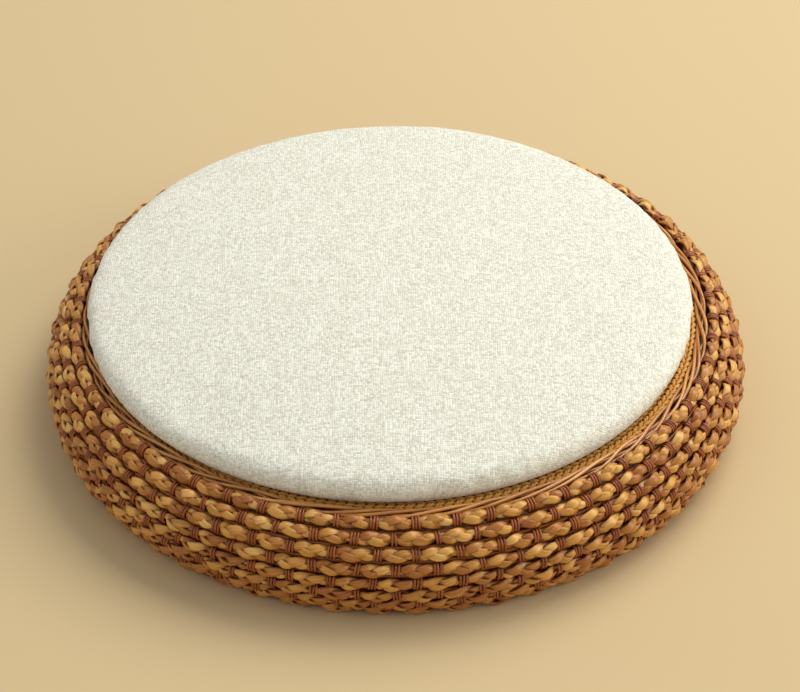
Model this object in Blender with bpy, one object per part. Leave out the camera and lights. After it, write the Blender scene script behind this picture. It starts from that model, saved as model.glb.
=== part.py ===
"""A low round floor seat: a woven wall and deck over a rattan frame, with a loose linen seat pad lying on the deck.

Units are metres and +Z is up. The origin is the centre of the seat's footprint, on the floor.

The wall is a stack of plaited rows. Each row is a ring that leans out over the row below up to the belly, and
leans in again above it. Bent ribs stand behind the rows, hoops run round inside the ribs, two crossed bars carry
the deck board, and the deck mat covers the board out to the rim rope. The pad is a zipped cover over wadding and
foam. It lifts straight off, and its zip slider runs along a channel in its underside.
"""

import math

import bmesh
import bpy
from mathutils import Vector

# ------------------------------------------------------------------------------------ driving dimensions, metres

TOUCH_GAP = 0.0003          # left between pieces that touch
RING_SEGMENTS = 40          # facets round each turned ring
SCREW_SEGMENTS = 12         # facets round each screw and its holes
POLE_SIDES = 6              # facets round a hoop's or the rope's section
LASHING_SIDES = 4
SHARP_EDGE = math.radians(40)   # steeper edges than this stay crisp
WELD = 1e-6                 # points nearer than this become one

# Woven wall
BELLY_RADIUS = 0.2250       # outside of the widest row
ROW_COUNT = 8
PLAIT_DIAMETER = 0.0090     # one plaited row, across its corners
PLAIT_SIDES = 8
FOOT_LEAN = math.radians(-30)   # slope of the wall between the two lowest rows, negative leaning out
TOP_LEAN = math.radians(50)     # slope between the two highest rows, positive leaning in
LASHING_DIAMETER = 0.0024
RIB_COUNT = 8
RIB_DIAMETER = 0.0070
RIB_PHASE = math.radians(18)    # turns the ribs clear of the crossed bars
RIB_CLEARANCE = 0.0007      # ribs to the backs of the rows

# Rim and deck
ROPE_DIAMETER = 0.0060
ROPE_STANDOFF = 0.0007      # rope to the top row
ROPE_BEARING = math.radians(0)   # the rope lies in from the top row, raised by this slope
MAT_THICKNESS = 0.0030
MAT_RISE = 0.0016           # the mat's edge band climbs this much
MAT_BAND = 0.0090           # width of the climbing band
BOARD_THICKNESS = 0.0060
BAR_WIDTH = 0.0280
BAR_DEPTH = 0.0100
RIM_HOOP_DIAMETER = BOARD_THICKNESS - TOUCH_GAP     # no deeper than the board that lies inside it
HOOP_DIAMETERS = {"rim_hoop": RIM_HOOP_DIAMETER, "deck_hoop": 0.0090, "belly_hoop": 0.0080, "foot_hoop": 0.0080}
BELLY_HOOP_SHARE = 0.52     # height of the belly hoop, as a share of the deck hoop's
HOOP_CLEARANCE = 0.0004     # hoops to ribs, bars and board

# Deck screws
SCREW_CIRCLE = 0.1200       # distance of each deck screw from the seat's middle
SCREW_DIAMETER = 0.0038
SCREW_HEAD_DIAMETER = 0.0080
SCREW_HEAD_HEIGHT = 0.0020
SCREW_CROWN = 0.7           # flat of the head, as a share of its width
SCREW_BITE = 0.0045         # length of screw inside the board
SCREW_CLEARANCE = 0.0003

# Pad
PAD_INSET = 0.0019          # the pad's edge falls this far inside the middle of the rim rope
PAD_SHIFT = -0.0035         # the pad lies this far off centre, along X
PAD_WAIST = 0.0125          # height of the pad's widest line above its base
PAD_SHOULDER = 0.0090       # height of the top edge above the waist
PAD_DOME = 0.0090           # height of the middle above the top edge
PAD_UNDER_ROUND = 0.0180    # how far the underside rounds in
PAD_TOP_ROUND = 0.0080      # how far the top edge rounds in
SEAM_HEIGHT = 0.0040        # seam between the cover's two panels, above the base
CLOTH_THICKNESS = 0.0009
FILL_CLEARANCE = 0.0004     # between cover, wadding and foam
FOAM_HEIGHT = 0.0160
ARC_STEPS = 4               # straight runs in each rounded edge of the pad
DOME_SHARES = (0.85, 0.6, 0.3, 0.0)     # the dome's turned rings, as shares of the top edge's radius

# Zip
ZIP_PLACE = 0.1050          # distance of the zip behind the pad's middle
ZIP_LENGTH = 0.2140
CHANNEL_WIDTH = 0.0160
CHANNEL_DEPTH = 0.0032
CHANNEL_END = 0.0030        # channel beyond each end of the tapes
ZIP_OPENING = 0.0120        # slot in the channel's roof, which the tapes close
TAPE_WIDTH = 0.0067
TAPE_THICKNESS = 0.0008
TOOTH_GAP = 0.0016          # gap between the two tapes, where the slider's post runs
SLIDER_LENGTH = 0.0120
SLIDER_WIDTH = 0.0090
SLIDER_OUTER_PLATE = 0.0014
SLIDER_INNER_PLATE = 0.0012
SLIDER_POST = 0.0010
SLIDER_END = 0.0010         # slider to the end of the tapes when the zip is shut
FOAM_GROOVE_MARGIN = 0.0010  # foam to the channel

# ------------------------------------------------------------------------------------------- the wall's section

PLAIT_RADIUS = PLAIT_DIAMETER / 2
PLAIT_FLAT = PLAIT_RADIUS * math.cos(math.pi / PLAIT_SIDES)
ROW_PITCH = PLAIT_DIAMETER + TOUCH_GAP


def row_lean(step):
    """Slope of the wall between row `step` and the row above it, counted from the foot."""
    return FOOT_LEAN + (TOP_LEAN - FOOT_LEAN) * step / (ROW_COUNT - 2)


def wall_rows():
    """Middle of each row as (radius, height), foot row first."""
    rows = [(0.0, PLAIT_FLAT)]
    for step in range(ROW_COUNT - 1):
        radius, height = rows[-1]
        lean = row_lean(step)
        rows.append((radius - ROW_PITCH * math.sin(lean), height + ROW_PITCH * math.cos(lean)))
    reach = BELLY_RADIUS - PLAIT_FLAT - max(radius for radius, _ in rows)
    return [(radius + reach, height) for radius, height in rows]


def row_slopes():
    """Slope of the wall at each row: the mean of the slopes to its neighbours."""
    leans = [row_lean(step) for step in range(ROW_COUNT - 1)]
    return [(below + above) / 2 for below, above in zip(leans[:1] + leans, leans + leans[-1:])]


def behind(place, slope, distance):
    """The point `distance` behind a point of the wall, square to the wall."""
    radius, height = place
    return radius - distance * math.cos(slope), height - distance * math.sin(slope)


ROWS = wall_rows()
TOP_ROW = ROWS[-1]
RIB_RADIUS = RIB_DIAMETER / 2
RIB_INSET = PLAIT_RADIUS + RIB_CLEARANCE + RIB_RADIUS
RIB_LINE = [behind(place, slope, RIB_INSET) for place, slope in zip(ROWS, row_slopes())]

# ------------------------------------------------------------------------------------ rim, deck and pad heights

ROPE_RADIUS = ROPE_DIAMETER / 2
ROPE_REACH = PLAIT_RADIUS + ROPE_STANDOFF + ROPE_RADIUS
ROPE_PLACE = (TOP_ROW[0] - ROPE_REACH * math.cos(ROPE_BEARING),
              TOP_ROW[1] + ROPE_REACH * math.sin(ROPE_BEARING))
MAT_RADIUS = ROPE_PLACE[0] - ROPE_RADIUS - TOUCH_GAP
MAT_EDGE_TOP = ROPE_PLACE[1] - TOUCH_GAP
DECK_TOP = MAT_EDGE_TOP - MAT_RISE
BOARD_TOP = DECK_TOP - MAT_THICKNESS - TOUCH_GAP
BOARD_BOTTOM = BOARD_TOP - BOARD_THICKNESS
BAR_TOP = BOARD_BOTTOM - TOUCH_GAP
BAR_BOTTOM = BAR_TOP - BAR_DEPTH
PAD_BASE = DECK_TOP + TOUCH_GAP
PAD_RADIUS = ROPE_PLACE[0] - PAD_INSET

# ---------------------------------------------------------------------------------------------------- materials

COLOURS = {
    # name: (base colour, roughness, metallic)
    "plaited_hyacinth": ((0.330, 0.130, 0.040), 0.45, 0.0),
    "rattan_peel": ((0.150, 0.045, 0.018), 0.40, 0.0),
    "rattan_core": ((0.520, 0.230, 0.085), 0.35, 0.0),
    "twisted_straw": ((0.480, 0.270, 0.060), 0.50, 0.0),
    "rattan_pole": ((0.560, 0.360, 0.180), 0.45, 0.0),
    "plywood": ((0.620, 0.450, 0.260), 0.60, 0.0),
    "batten_wood": ((0.560, 0.380, 0.200), 0.60, 0.0),
    "screw_steel": ((0.550, 0.550, 0.560), 0.35, 1.0),
    "linen": ((0.820, 0.800, 0.690), 0.90, 0.0),
    "underside_cotton": ((0.780, 0.750, 0.660), 0.90, 0.0),
    "foam": ((0.860, 0.820, 0.620), 0.95, 0.0),
    "wadding": ((0.900, 0.900, 0.890), 0.95, 0.0),
    "zip_tape": ((0.720, 0.690, 0.600), 0.80, 0.0),
    "zip_metal": ((0.620, 0.560, 0.440), 0.35, 1.0),
}


def material(name):
    """The named material, made on first use."""
    found = bpy.data.materials.get(name)
    if found:
        return found
    colour, roughness, metallic = COLOURS[name]
    made = bpy.data.materials.new(name)
    made.use_nodes = True
    shader = made.node_tree.nodes["Principled BSDF"]
    shader.inputs["Base Color"].default_value = (*colour, 1.0)
    shader.inputs["Roughness"].default_value = roughness
    shader.inputs["Metallic"].default_value = metallic
    return made


# ----------------------------------------------------------------------------------------------- shape builders


def clear_scene():
    """Removes every object of the open scene."""
    for thing in list(bpy.data.objects):
        bpy.data.objects.remove(thing, do_unlink=True)


def add_object(name, data, parent=None, place=(0.0, 0.0, 0.0)):
    """Links a new object to the scene, at `place` under `parent`."""
    made = bpy.data.objects.new(name, data)
    bpy.context.scene.collection.objects.link(made)
    made.location = place
    made.parent = parent
    return made


def finished(bm, name, look, smooth=True):
    """Turns a bmesh into a mesh with outward faces and one material."""
    bmesh.ops.recalc_face_normals(bm, faces=bm.faces)
    mesh = bpy.data.meshes.new(name)
    bm.to_mesh(mesh)
    bm.free()
    mesh.materials.append(material(look))
    if smooth:
        mesh.shade_smooth()
        mesh.set_sharp_from_angle(angle=SHARP_EDGE)
    return mesh


def turned(name, outline, look, closed=True, parent=None, place=(0.0, 0.0, 0.0), segments=RING_SEGMENTS):
    """Turns a (radius, height) outline about the vertical: closed for a ring, open from axis to axis for a disc."""
    bm = bmesh.new()
    corners = [bm.verts.new((radius, 0.0, height)) for radius, height in outline]
    ends = corners[1:] + corners[:1] if closed else corners[1:]
    sides = [bm.edges.new(pair) for pair in zip(corners, ends)]
    bmesh.ops.spin(bm, geom=corners + sides, cent=(0, 0, 0), axis=(0, 0, 1), dvec=(0, 0, 0),
                   angle=math.tau, steps=segments, use_merge=True, use_duplicate=False)
    bmesh.ops.remove_doubles(bm, verts=bm.verts, dist=WELD)
    return add_object(name, finished(bm, name, look), parent, place)


def round_section(place, radius, sides):
    """Corners of a round bar's section, with a flat facing straight down."""
    turn = math.pi / sides
    return [(place[0] + radius * math.cos(turn + math.tau * i / sides),
             place[1] + radius * math.sin(turn + math.tau * i / sides)) for i in range(sides)]


def block(name, low, high, look, parent=None):
    """A box between two opposite corners, with its origin in its middle."""
    low, high = Vector(low), Vector(high)
    bm = bmesh.new()
    bmesh.ops.create_cube(bm, size=1.0)
    bmesh.ops.scale(bm, vec=high - low, verts=bm.verts)
    return add_object(name, finished(bm, name, look, smooth=False), parent, (low + high) / 2)


def as_cutter(thing):
    """Marks an object as a cutting shape, which is no piece of the seat."""
    thing.hide_render = True
    thing.display_type = "WIRE"
    return thing


def cut(target, cutter):
    """Cuts one object out of another."""
    bite = target.modifiers.new(cutter.name, "BOOLEAN")
    bite.operation = "DIFFERENCE"
    bite.solver = "EXACT"
    bite.object = as_cutter(cutter)


# ------------------------------------------------------------------------------------------------ wall and frame


def build_rows():
    """The plaited rows, foot row first."""
    for index, place in enumerate(ROWS, start=1):
        turned(f"plait_row_{index}", round_section(place, PLAIT_RADIUS, PLAIT_SIDES), "plaited_hyacinth")


def build_lashings():
    """A lashing behind each seam between two rows, square to the seam and touching neither row."""
    half = LASHING_DIAMETER / 2
    reach = PLAIT_RADIUS + half + TOUCH_GAP
    inset = math.sqrt(reach ** 2 - (ROW_PITCH / 2) ** 2)
    for index, (lower, upper) in enumerate(zip(ROWS, ROWS[1:]), start=1):
        seam = ((lower[0] + upper[0]) / 2, (lower[1] + upper[1]) / 2)
        place = behind(seam, row_lean(index - 1), inset)
        turned(f"lashing_{index}", round_section(place, half, LASHING_SIDES), "rattan_peel")


def build_ribs():
    """Bent ribs that stand behind the rows, from the foot to just under the top row."""
    for index in range(RIB_COUNT):
        bearing = RIB_PHASE + math.tau * index / RIB_COUNT
        curve = bpy.data.curves.new(f"rib_{index + 1}", "CURVE")
        curve.dimensions = "3D"
        curve.bevel_depth = RIB_RADIUS
        curve.bevel_resolution = 2
        curve.use_fill_caps = True
        spline = curve.splines.new("POLY")
        spline.points.add(len(RIB_LINE) - 1)
        for point, (radius, height) in zip(spline.points, RIB_LINE):
            point.co = (radius * math.cos(bearing), radius * math.sin(bearing), height, 1.0)
        curve.materials.append(material("rattan_pole"))
        add_object(f"rib_{index + 1}", curve)


def inside_ribs(height, hoop_radius):
    """Radius of a hoop at `height` that lies against the inner sides of the ribs, whose nearest run sets it."""
    reaches = []
    for (r0, z0), (r1, z1) in zip(RIB_LINE, RIB_LINE[1:]):
        rib = r0 + (r1 - r0) * (height - z0) / (z1 - z0)
        steep = (z1 - z0) / math.hypot(r1 - r0, z1 - z0)
        reaches.append(rib - (RIB_RADIUS + hoop_radius + HOOP_CLEARANCE) / steep)
    return min(reaches)


def hoop_places():
    """Middle of each hoop's pole as (radius, height)."""
    half = {name: size / 2 for name, size in HOOP_DIAMETERS.items()}
    rim_height = DECK_TOP - MAT_THICKNESS - HOOP_CLEARANCE - half["rim_hoop"]
    deck_height = BAR_TOP - half["deck_hoop"]
    belly_height = deck_height * BELLY_HOOP_SHARE
    foot_height = RIB_LINE[0][1] + half["foot_hoop"]
    return {
        "rim_hoop": (MAT_RADIUS - half["rim_hoop"], rim_height),
        "deck_hoop": (inside_ribs(deck_height, half["deck_hoop"]), deck_height),
        "belly_hoop": (inside_ribs(belly_height, half["belly_hoop"]), belly_height),
        "foot_hoop": (inside_ribs(foot_height, half["foot_hoop"]), foot_height),
    }


def build_hoops():
    """Round poles bent into hoops inside the ribs."""
    for name, place in hoop_places().items():
        turned(name, round_section(place, HOOP_DIAMETERS[name] / 2, POLE_SIDES), "rattan_pole")


def build_rim_rope():
    """The twisted rope that finishes the rim."""
    turned("rim_rope", round_section(ROPE_PLACE, ROPE_RADIUS, POLE_SIDES), "rattan_core")


# ---------------------------------------------------------------------------------------------------------- deck


def screw_places():
    """Where the deck screws stand: two through each bar."""
    return [(SCREW_CIRCLE, 0.0), (0.0, SCREW_CIRCLE), (-SCREW_CIRCLE, 0.0), (0.0, -SCREW_CIRCLE)]


def screw_hole(name, place, low, high):
    """A cutter for one screw hole between two heights."""
    radius = SCREW_DIAMETER / 2 + SCREW_CLEARANCE
    outline = [(0.0, low), (radius, low), (radius, high), (0.0, high)]
    return turned(name, outline, "batten_wood", closed=False, place=(*place, 0.0), segments=SCREW_SEGMENTS)


def build_bars():
    """Two bars crossed in a half-lap joint, their ends butted against the inside of the deck hoop."""
    hoop_radius, _ = hoop_places()["deck_hoop"]
    reach = (hoop_radius - HOOP_DIAMETERS["deck_hoop"] / 2) * math.cos(math.pi / RING_SEGMENTS) - HOOP_CLEARANCE
    half = BAR_WIDTH / 2
    middle = (BAR_BOTTOM + BAR_TOP) / 2
    lap = half + TOUCH_GAP
    past = 2 * BAR_DEPTH
    lower = block("cross_bar_lower", (-reach, -half, BAR_BOTTOM), (reach, half, BAR_TOP), "batten_wood")
    upper = block("cross_bar_upper", (-half, -reach, BAR_BOTTOM), (half, reach, BAR_TOP), "batten_wood")
    cut(lower, block("lap_in_lower_bar", (-lap, -past, middle - TOUCH_GAP / 2), (lap, past, BAR_TOP + past),
                     "batten_wood"))
    cut(upper, block("lap_in_upper_bar", (-past, -lap, BAR_BOTTOM - past), (past, lap, middle + TOUCH_GAP / 2),
                     "batten_wood"))
    for index, place in enumerate(screw_places(), start=1):
        bar = lower if place[1] == 0.0 else upper
        cut(bar, screw_hole(f"bar_hole_{index}", place, BAR_BOTTOM - BAR_DEPTH, BAR_TOP + BAR_DEPTH))


def build_board():
    """The deck board, inside the rim hoop, with a blind hole for each screw."""
    rim_radius, _ = hoop_places()["rim_hoop"]
    radius = rim_radius - HOOP_DIAMETERS["rim_hoop"] / 2 - HOOP_CLEARANCE
    outline = [(0.0, BOARD_BOTTOM), (radius, BOARD_BOTTOM), (radius, BOARD_TOP), (0.0, BOARD_TOP)]
    board = turned("deck_board", outline, "plywood", closed=False)
    depth = SCREW_BITE + SCREW_CLEARANCE
    for index, place in enumerate(screw_places(), start=1):
        cut(board, screw_hole(f"board_hole_{index}", place, BAR_TOP, BOARD_BOTTOM + depth))


def build_screws():
    """Pan-head screws driven up through the bars into the board."""
    shank, head = SCREW_DIAMETER / 2, SCREW_HEAD_DIAMETER / 2
    seat = BAR_BOTTOM - TOUCH_GAP
    tip = BOARD_BOTTOM + SCREW_BITE
    crown = seat - SCREW_HEAD_HEIGHT
    outline = [(0.0, crown), (head * SCREW_CROWN, crown), (head, crown + SCREW_HEAD_HEIGHT / 2), (head, seat),
               (shank, seat), (shank, tip - shank), (0.0, tip)]
    for index, place in enumerate(screw_places(), start=1):
        turned(f"deck_screw_{index}", outline, "screw_steel", closed=False, place=(*place, 0.0),
               segments=SCREW_SEGMENTS)


def build_mat():
    """The woven mat over the board, with an edge band that climbs to the rim rope."""
    inner = MAT_RADIUS - MAT_BAND
    outline = [(0.0, DECK_TOP - MAT_THICKNESS), (inner, DECK_TOP - MAT_THICKNESS),
               (MAT_RADIUS, MAT_EDGE_TOP - MAT_THICKNESS), (MAT_RADIUS, MAT_EDGE_TOP),
               (inner, DECK_TOP), (0.0, DECK_TOP)]
    turned("deck_mat", outline, "twisted_straw", closed=False)


# ----------------------------------------------------------------------------------------------------------- pad


def arc(middle, across, up, start, end, steps):
    """Points of an elliptical arc as (radius, height)."""
    turns = [start + (end - start) * i / steps for i in range(steps + 1)]
    return [(middle[0] + across * math.cos(turn), middle[1] + up * math.sin(turn)) for turn in turns]


def seam_angle(skin):
    """Angle of the seam on the underside edge."""
    return -math.asin((PAD_WAIST - SEAM_HEIGHT) / (PAD_WAIST - skin))


def edge_part(skin, start, end, steps):
    """Part of the underside edge between two angles."""
    middle = (PAD_RADIUS - PAD_UNDER_ROUND, PAD_WAIST)
    return arc(middle, PAD_UNDER_ROUND - skin, PAD_WAIST - skin, start, end, steps)


def crown(skin):
    """The pad's top, waist to the middle of the dome."""
    middle = (PAD_RADIUS - PAD_TOP_ROUND, PAD_WAIST)
    shoulder = arc(middle, PAD_TOP_ROUND - skin, PAD_SHOULDER - skin, 0.0, math.pi / 2, ARC_STEPS)
    edge_radius, edge_height = shoulder[-1]
    dome = [(edge_radius * share, edge_height + PAD_DOME * (1 - share ** 2)) for share in DOME_SHARES]
    return shoulder + dome


def build_cover_top(pad):
    """The linen panel over the top and side, down to the seam."""
    outer = edge_part(0.0, seam_angle(0.0), 0.0, ARC_STEPS - 1) + crown(0.0)[1:]
    start = seam_angle(CLOTH_THICKNESS)
    inner = edge_part(CLOTH_THICKNESS, start, 0.0, ARC_STEPS - 1) + crown(CLOTH_THICKNESS)[1:]
    turned("cover_top", outer[::-1] + inner, "linen", closed=False, parent=pad)


def under_solid(name, skin, rim_height, pad):
    """A solid with the form of the pad's underside, `skin` in from its face and flat on top."""
    end = -math.asin((PAD_WAIST - rim_height) / (PAD_WAIST - skin))
    low = edge_part(skin, -math.pi / 2, end, ARC_STEPS - 1)
    return turned(name, [(0.0, skin), *low, (0.0, rim_height)], "underside_cotton", closed=False, parent=pad)


def zip_box(name, pad, half_width, low, high, beyond):
    """A block along the zip: its half width, lowest and highest faces, and length beyond each end of the tapes."""
    reach = ZIP_LENGTH / 2 + beyond
    front, back = ZIP_PLACE - half_width, ZIP_PLACE + half_width
    return block(name, (-reach, front, low), (reach, back, high), "zip_tape", pad)


def build_cover_bottom(pad):
    """The underside panel: a shallow dish of cloth with the zip's channel pressed into it."""
    top = SEAM_HEIGHT - TOUCH_GAP
    half = CHANNEL_WIDTH / 2
    panel = under_solid("cover_bottom", 0.0, top, pad)
    cut(panel, zip_box("zip_channel", pad, half, -CHANNEL_DEPTH, CHANNEL_DEPTH, CHANNEL_END))
    hollow = under_solid("cover_hollow", CLOTH_THICKNESS, top + CHANNEL_DEPTH, pad)
    cut(hollow, zip_box("channel_form", pad, half + CLOTH_THICKNESS, -CHANNEL_DEPTH,
                        CHANNEL_DEPTH + CLOTH_THICKNESS, CHANNEL_END + CLOTH_THICKNESS))
    cut(panel, hollow)
    cut(panel, zip_box("zip_slot", pad, ZIP_OPENING / 2, -CHANNEL_DEPTH, 2 * CHANNEL_DEPTH, 0.0))


def build_filling(pad):
    """The foam core, grooved over the zip, and the domed wadding on top of it."""
    skin = CLOTH_THICKNESS + FILL_CLEARANCE
    foam_top = skin + FOAM_HEIGHT
    side = edge_part(skin, -math.pi / 2, 0.0, ARC_STEPS)
    side_radius = side[-1][0] - skin
    outline = [(0.0, skin), *side[:-1], (side_radius, PAD_WAIST), (side_radius, foam_top), (0.0, foam_top)]
    foam = turned("foam_core", outline, "foam", closed=False, parent=pad)
    margin = CLOTH_THICKNESS + FOAM_GROOVE_MARGIN
    cut(foam, zip_box("foam_groove", pad, CHANNEL_WIDTH / 2 + margin, -CHANNEL_DEPTH, CHANNEL_DEPTH + 2 * margin,
                      CHANNEL_END + margin))
    shell = [point for point in crown(skin) if point[1] > foam_top + FILL_CLEARANCE]
    layer = [(0.0, foam_top + FILL_CLEARANCE), (shell[0][0], foam_top + FILL_CLEARANCE), *shell]
    turned("wadding", layer, "wadding", closed=False, parent=pad)


def build_zip(pad):
    """Two zip tapes under the channel's roof, and the slider that straddles them."""
    tape_top = CHANNEL_DEPTH - TOUCH_GAP
    tape_bottom = tape_top - TAPE_THICKNESS
    half = ZIP_LENGTH / 2
    for name, side in (("zip_tape_front", -1), ("zip_tape_back", 1)):
        inner = ZIP_PLACE + side * TOOTH_GAP / 2
        outer = ZIP_PLACE + side * (TOOTH_GAP / 2 + TAPE_WIDTH)
        front, back = min(inner, outer), max(inner, outer)
        block(name, (-half, front, tape_bottom), (half, back, tape_top), "zip_tape", pad)
    build_slider(pad, tape_bottom, tape_top)


def build_slider(pad, tape_bottom, tape_top):
    """The slider: a plate under the tapes and a plate over them, joined by a post in the gap between them."""
    post = SLIDER_POST / 2
    wide = SLIDER_WIDTH / 2
    under_top, over_bottom = tape_bottom - TOUCH_GAP, tape_top + TOUCH_GAP
    under_bottom, over_top = under_top - SLIDER_OUTER_PLATE, over_bottom + SLIDER_INNER_PLATE
    section = [(-wide, under_bottom), (wide, under_bottom), (wide, under_top), (post, under_top),
               (post, over_bottom), (wide, over_bottom), (wide, over_top), (-wide, over_top),
               (-wide, over_bottom), (-post, over_bottom), (-post, under_top), (-wide, under_top)]
    bm = bmesh.new()
    face = bm.faces.new([bm.verts.new((-SLIDER_LENGTH / 2, y, z)) for y, z in section])
    swept = bmesh.ops.extrude_face_region(bm, geom=[face])["geom"]
    moved = [item for item in swept if isinstance(item, bmesh.types.BMVert)]
    bmesh.ops.translate(bm, vec=(SLIDER_LENGTH, 0, 0), verts=moved)
    start = -ZIP_LENGTH / 2 + SLIDER_LENGTH / 2 + SLIDER_END
    add_object("zip_slider", finished(bm, "zip_slider", "zip_metal", smooth=False), pad, (start, ZIP_PLACE, 0.0))


def build_pad():
    """The loose pad, built round an empty that stands at the middle of its base."""
    pad = add_object("seat_pad", None, place=(PAD_SHIFT, 0.0, PAD_BASE))
    build_cover_top(pad)
    build_cover_bottom(pad)
    build_filling(pad)
    build_zip(pad)


def main():
    """Builds the whole seat."""
    clear_scene()
    build_rows()
    build_lashings()
    build_ribs()
    build_hoops()
    build_rim_rope()
    build_bars()
    build_board()
    build_screws()
    build_mat()
    build_pad()


main()
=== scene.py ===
"""The finished look of a round woven floor seat and its loose linen pad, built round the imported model.

The wall's plaits, ties, rim rope, straw deck, cane poles and the stuffed pad are modelled here at the places that
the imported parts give. Lengths are in metres, +Z is up, and every piece's place is in its mesh.
"""

import logging
import math
from dataclasses import dataclass, field
from enum import Enum
from typing import Callable, Iterable, Optional, Sequence, Union

import bmesh
import bpy
import numpy as np
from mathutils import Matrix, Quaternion, Vector


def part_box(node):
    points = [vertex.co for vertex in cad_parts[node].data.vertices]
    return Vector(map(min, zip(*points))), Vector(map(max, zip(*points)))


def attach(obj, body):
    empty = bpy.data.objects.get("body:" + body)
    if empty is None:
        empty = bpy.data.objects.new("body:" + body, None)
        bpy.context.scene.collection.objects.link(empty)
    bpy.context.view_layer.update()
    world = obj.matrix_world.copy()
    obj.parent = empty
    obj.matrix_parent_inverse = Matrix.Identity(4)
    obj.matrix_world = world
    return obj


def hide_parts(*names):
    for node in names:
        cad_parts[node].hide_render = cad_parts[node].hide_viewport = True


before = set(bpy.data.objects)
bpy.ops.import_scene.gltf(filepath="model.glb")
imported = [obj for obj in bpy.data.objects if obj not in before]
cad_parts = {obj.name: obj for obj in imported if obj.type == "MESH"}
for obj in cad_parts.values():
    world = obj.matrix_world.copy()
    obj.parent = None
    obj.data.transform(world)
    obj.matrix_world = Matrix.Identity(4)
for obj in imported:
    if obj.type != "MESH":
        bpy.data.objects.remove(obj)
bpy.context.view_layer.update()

LOG = logging.getLogger("seat")
MM = 0.001
GROUND = 0.02 * MM      # no woven piece reaches below this height
WELD = 1e-7             # points nearer than this become one
CUT = 1e-6              # points nearer than this to a cut lie on it
SEED = 4207

Colour = tuple[float, float, float]
Point = tuple[float, float]
Number = Union[float, "Signal"]


# ------------------------------------------------------------------------------------------------ shader making


class Signal:
    """A number that varies over a surface. Arithmetic on it adds Math nodes to its finish."""

    def __init__(self, tree: "FinishTree", socket: bpy.types.NodeSocket) -> None:
        """Wraps one output socket.

        Args:
            tree: The finish that the socket belongs to.
            socket: The output that carries the number.
        """
        self.tree = tree
        self.socket = socket

    def _math(self, operation: str, first: Number, second: Number = 0.0, clamp: bool = False) -> "Signal":
        """Adds one Math node.

        Args:
            operation: The node's operation.
            first: Its first value.
            second: Its second value, where it has one.
            clamp: Whether the result is kept from 0 to 1.

        Returns:
            The node's result.
        """
        made = self.tree.node("ShaderNodeMath", {"operation": operation, "use_clamp": clamp}, {0: first, 1: second})
        return Signal(self.tree, made.outputs[0])

    def __add__(self, other: Number) -> "Signal":
        """Sum."""
        return self._math("ADD", self, other)

    def __radd__(self, other: Number) -> "Signal":
        """Sum, reflected."""
        return self._math("ADD", other, self)

    def __sub__(self, other: Number) -> "Signal":
        """Difference."""
        return self._math("SUBTRACT", self, other)

    def __rsub__(self, other: Number) -> "Signal":
        """Difference, reflected."""
        return self._math("SUBTRACT", other, self)

    def __mul__(self, other: Number) -> "Signal":
        """Product."""
        return self._math("MULTIPLY", self, other)

    def __rmul__(self, other: Number) -> "Signal":
        """Product, reflected."""
        return self._math("MULTIPLY", other, self)

    def __truediv__(self, other: Number) -> "Signal":
        """Quotient."""
        return self._math("DIVIDE", self, other)

    def __rtruediv__(self, other: Number) -> "Signal":
        """Quotient, reflected."""
        return self._math("DIVIDE", other, self)

    def floor(self) -> "Signal":
        """Whole part."""
        return self._math("FLOOR", self)

    def sine(self) -> "Signal":
        """Sine, of radians."""
        return self._math("SINE", self)

    def size(self) -> "Signal":
        """Absolute value."""
        return self._math("ABSOLUTE", self)

    def larger(self, other: Number) -> "Signal":
        """The larger of two numbers."""
        return self._math("MAXIMUM", self, other)

    def clipped(self) -> "Signal":
        """The number kept from 0 to 1."""
        return self._math("ADD", self, 0.0, clamp=True)

    def between(self, low: float, high: float) -> "Signal":
        """A smooth step from 0 at `low` to 1 at `high`.

        Args:
            low: Where the step starts.
            high: Where it ends.

        Returns:
            The step.
        """
        made = self.tree.node("ShaderNodeMapRange", {"interpolation_type": "SMOOTHSTEP", "clamp": True},
                              {0: self, 1: low, 2: high, 3: 0.0, 4: 1.0})
        return Signal(self.tree, made.outputs[0])


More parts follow.
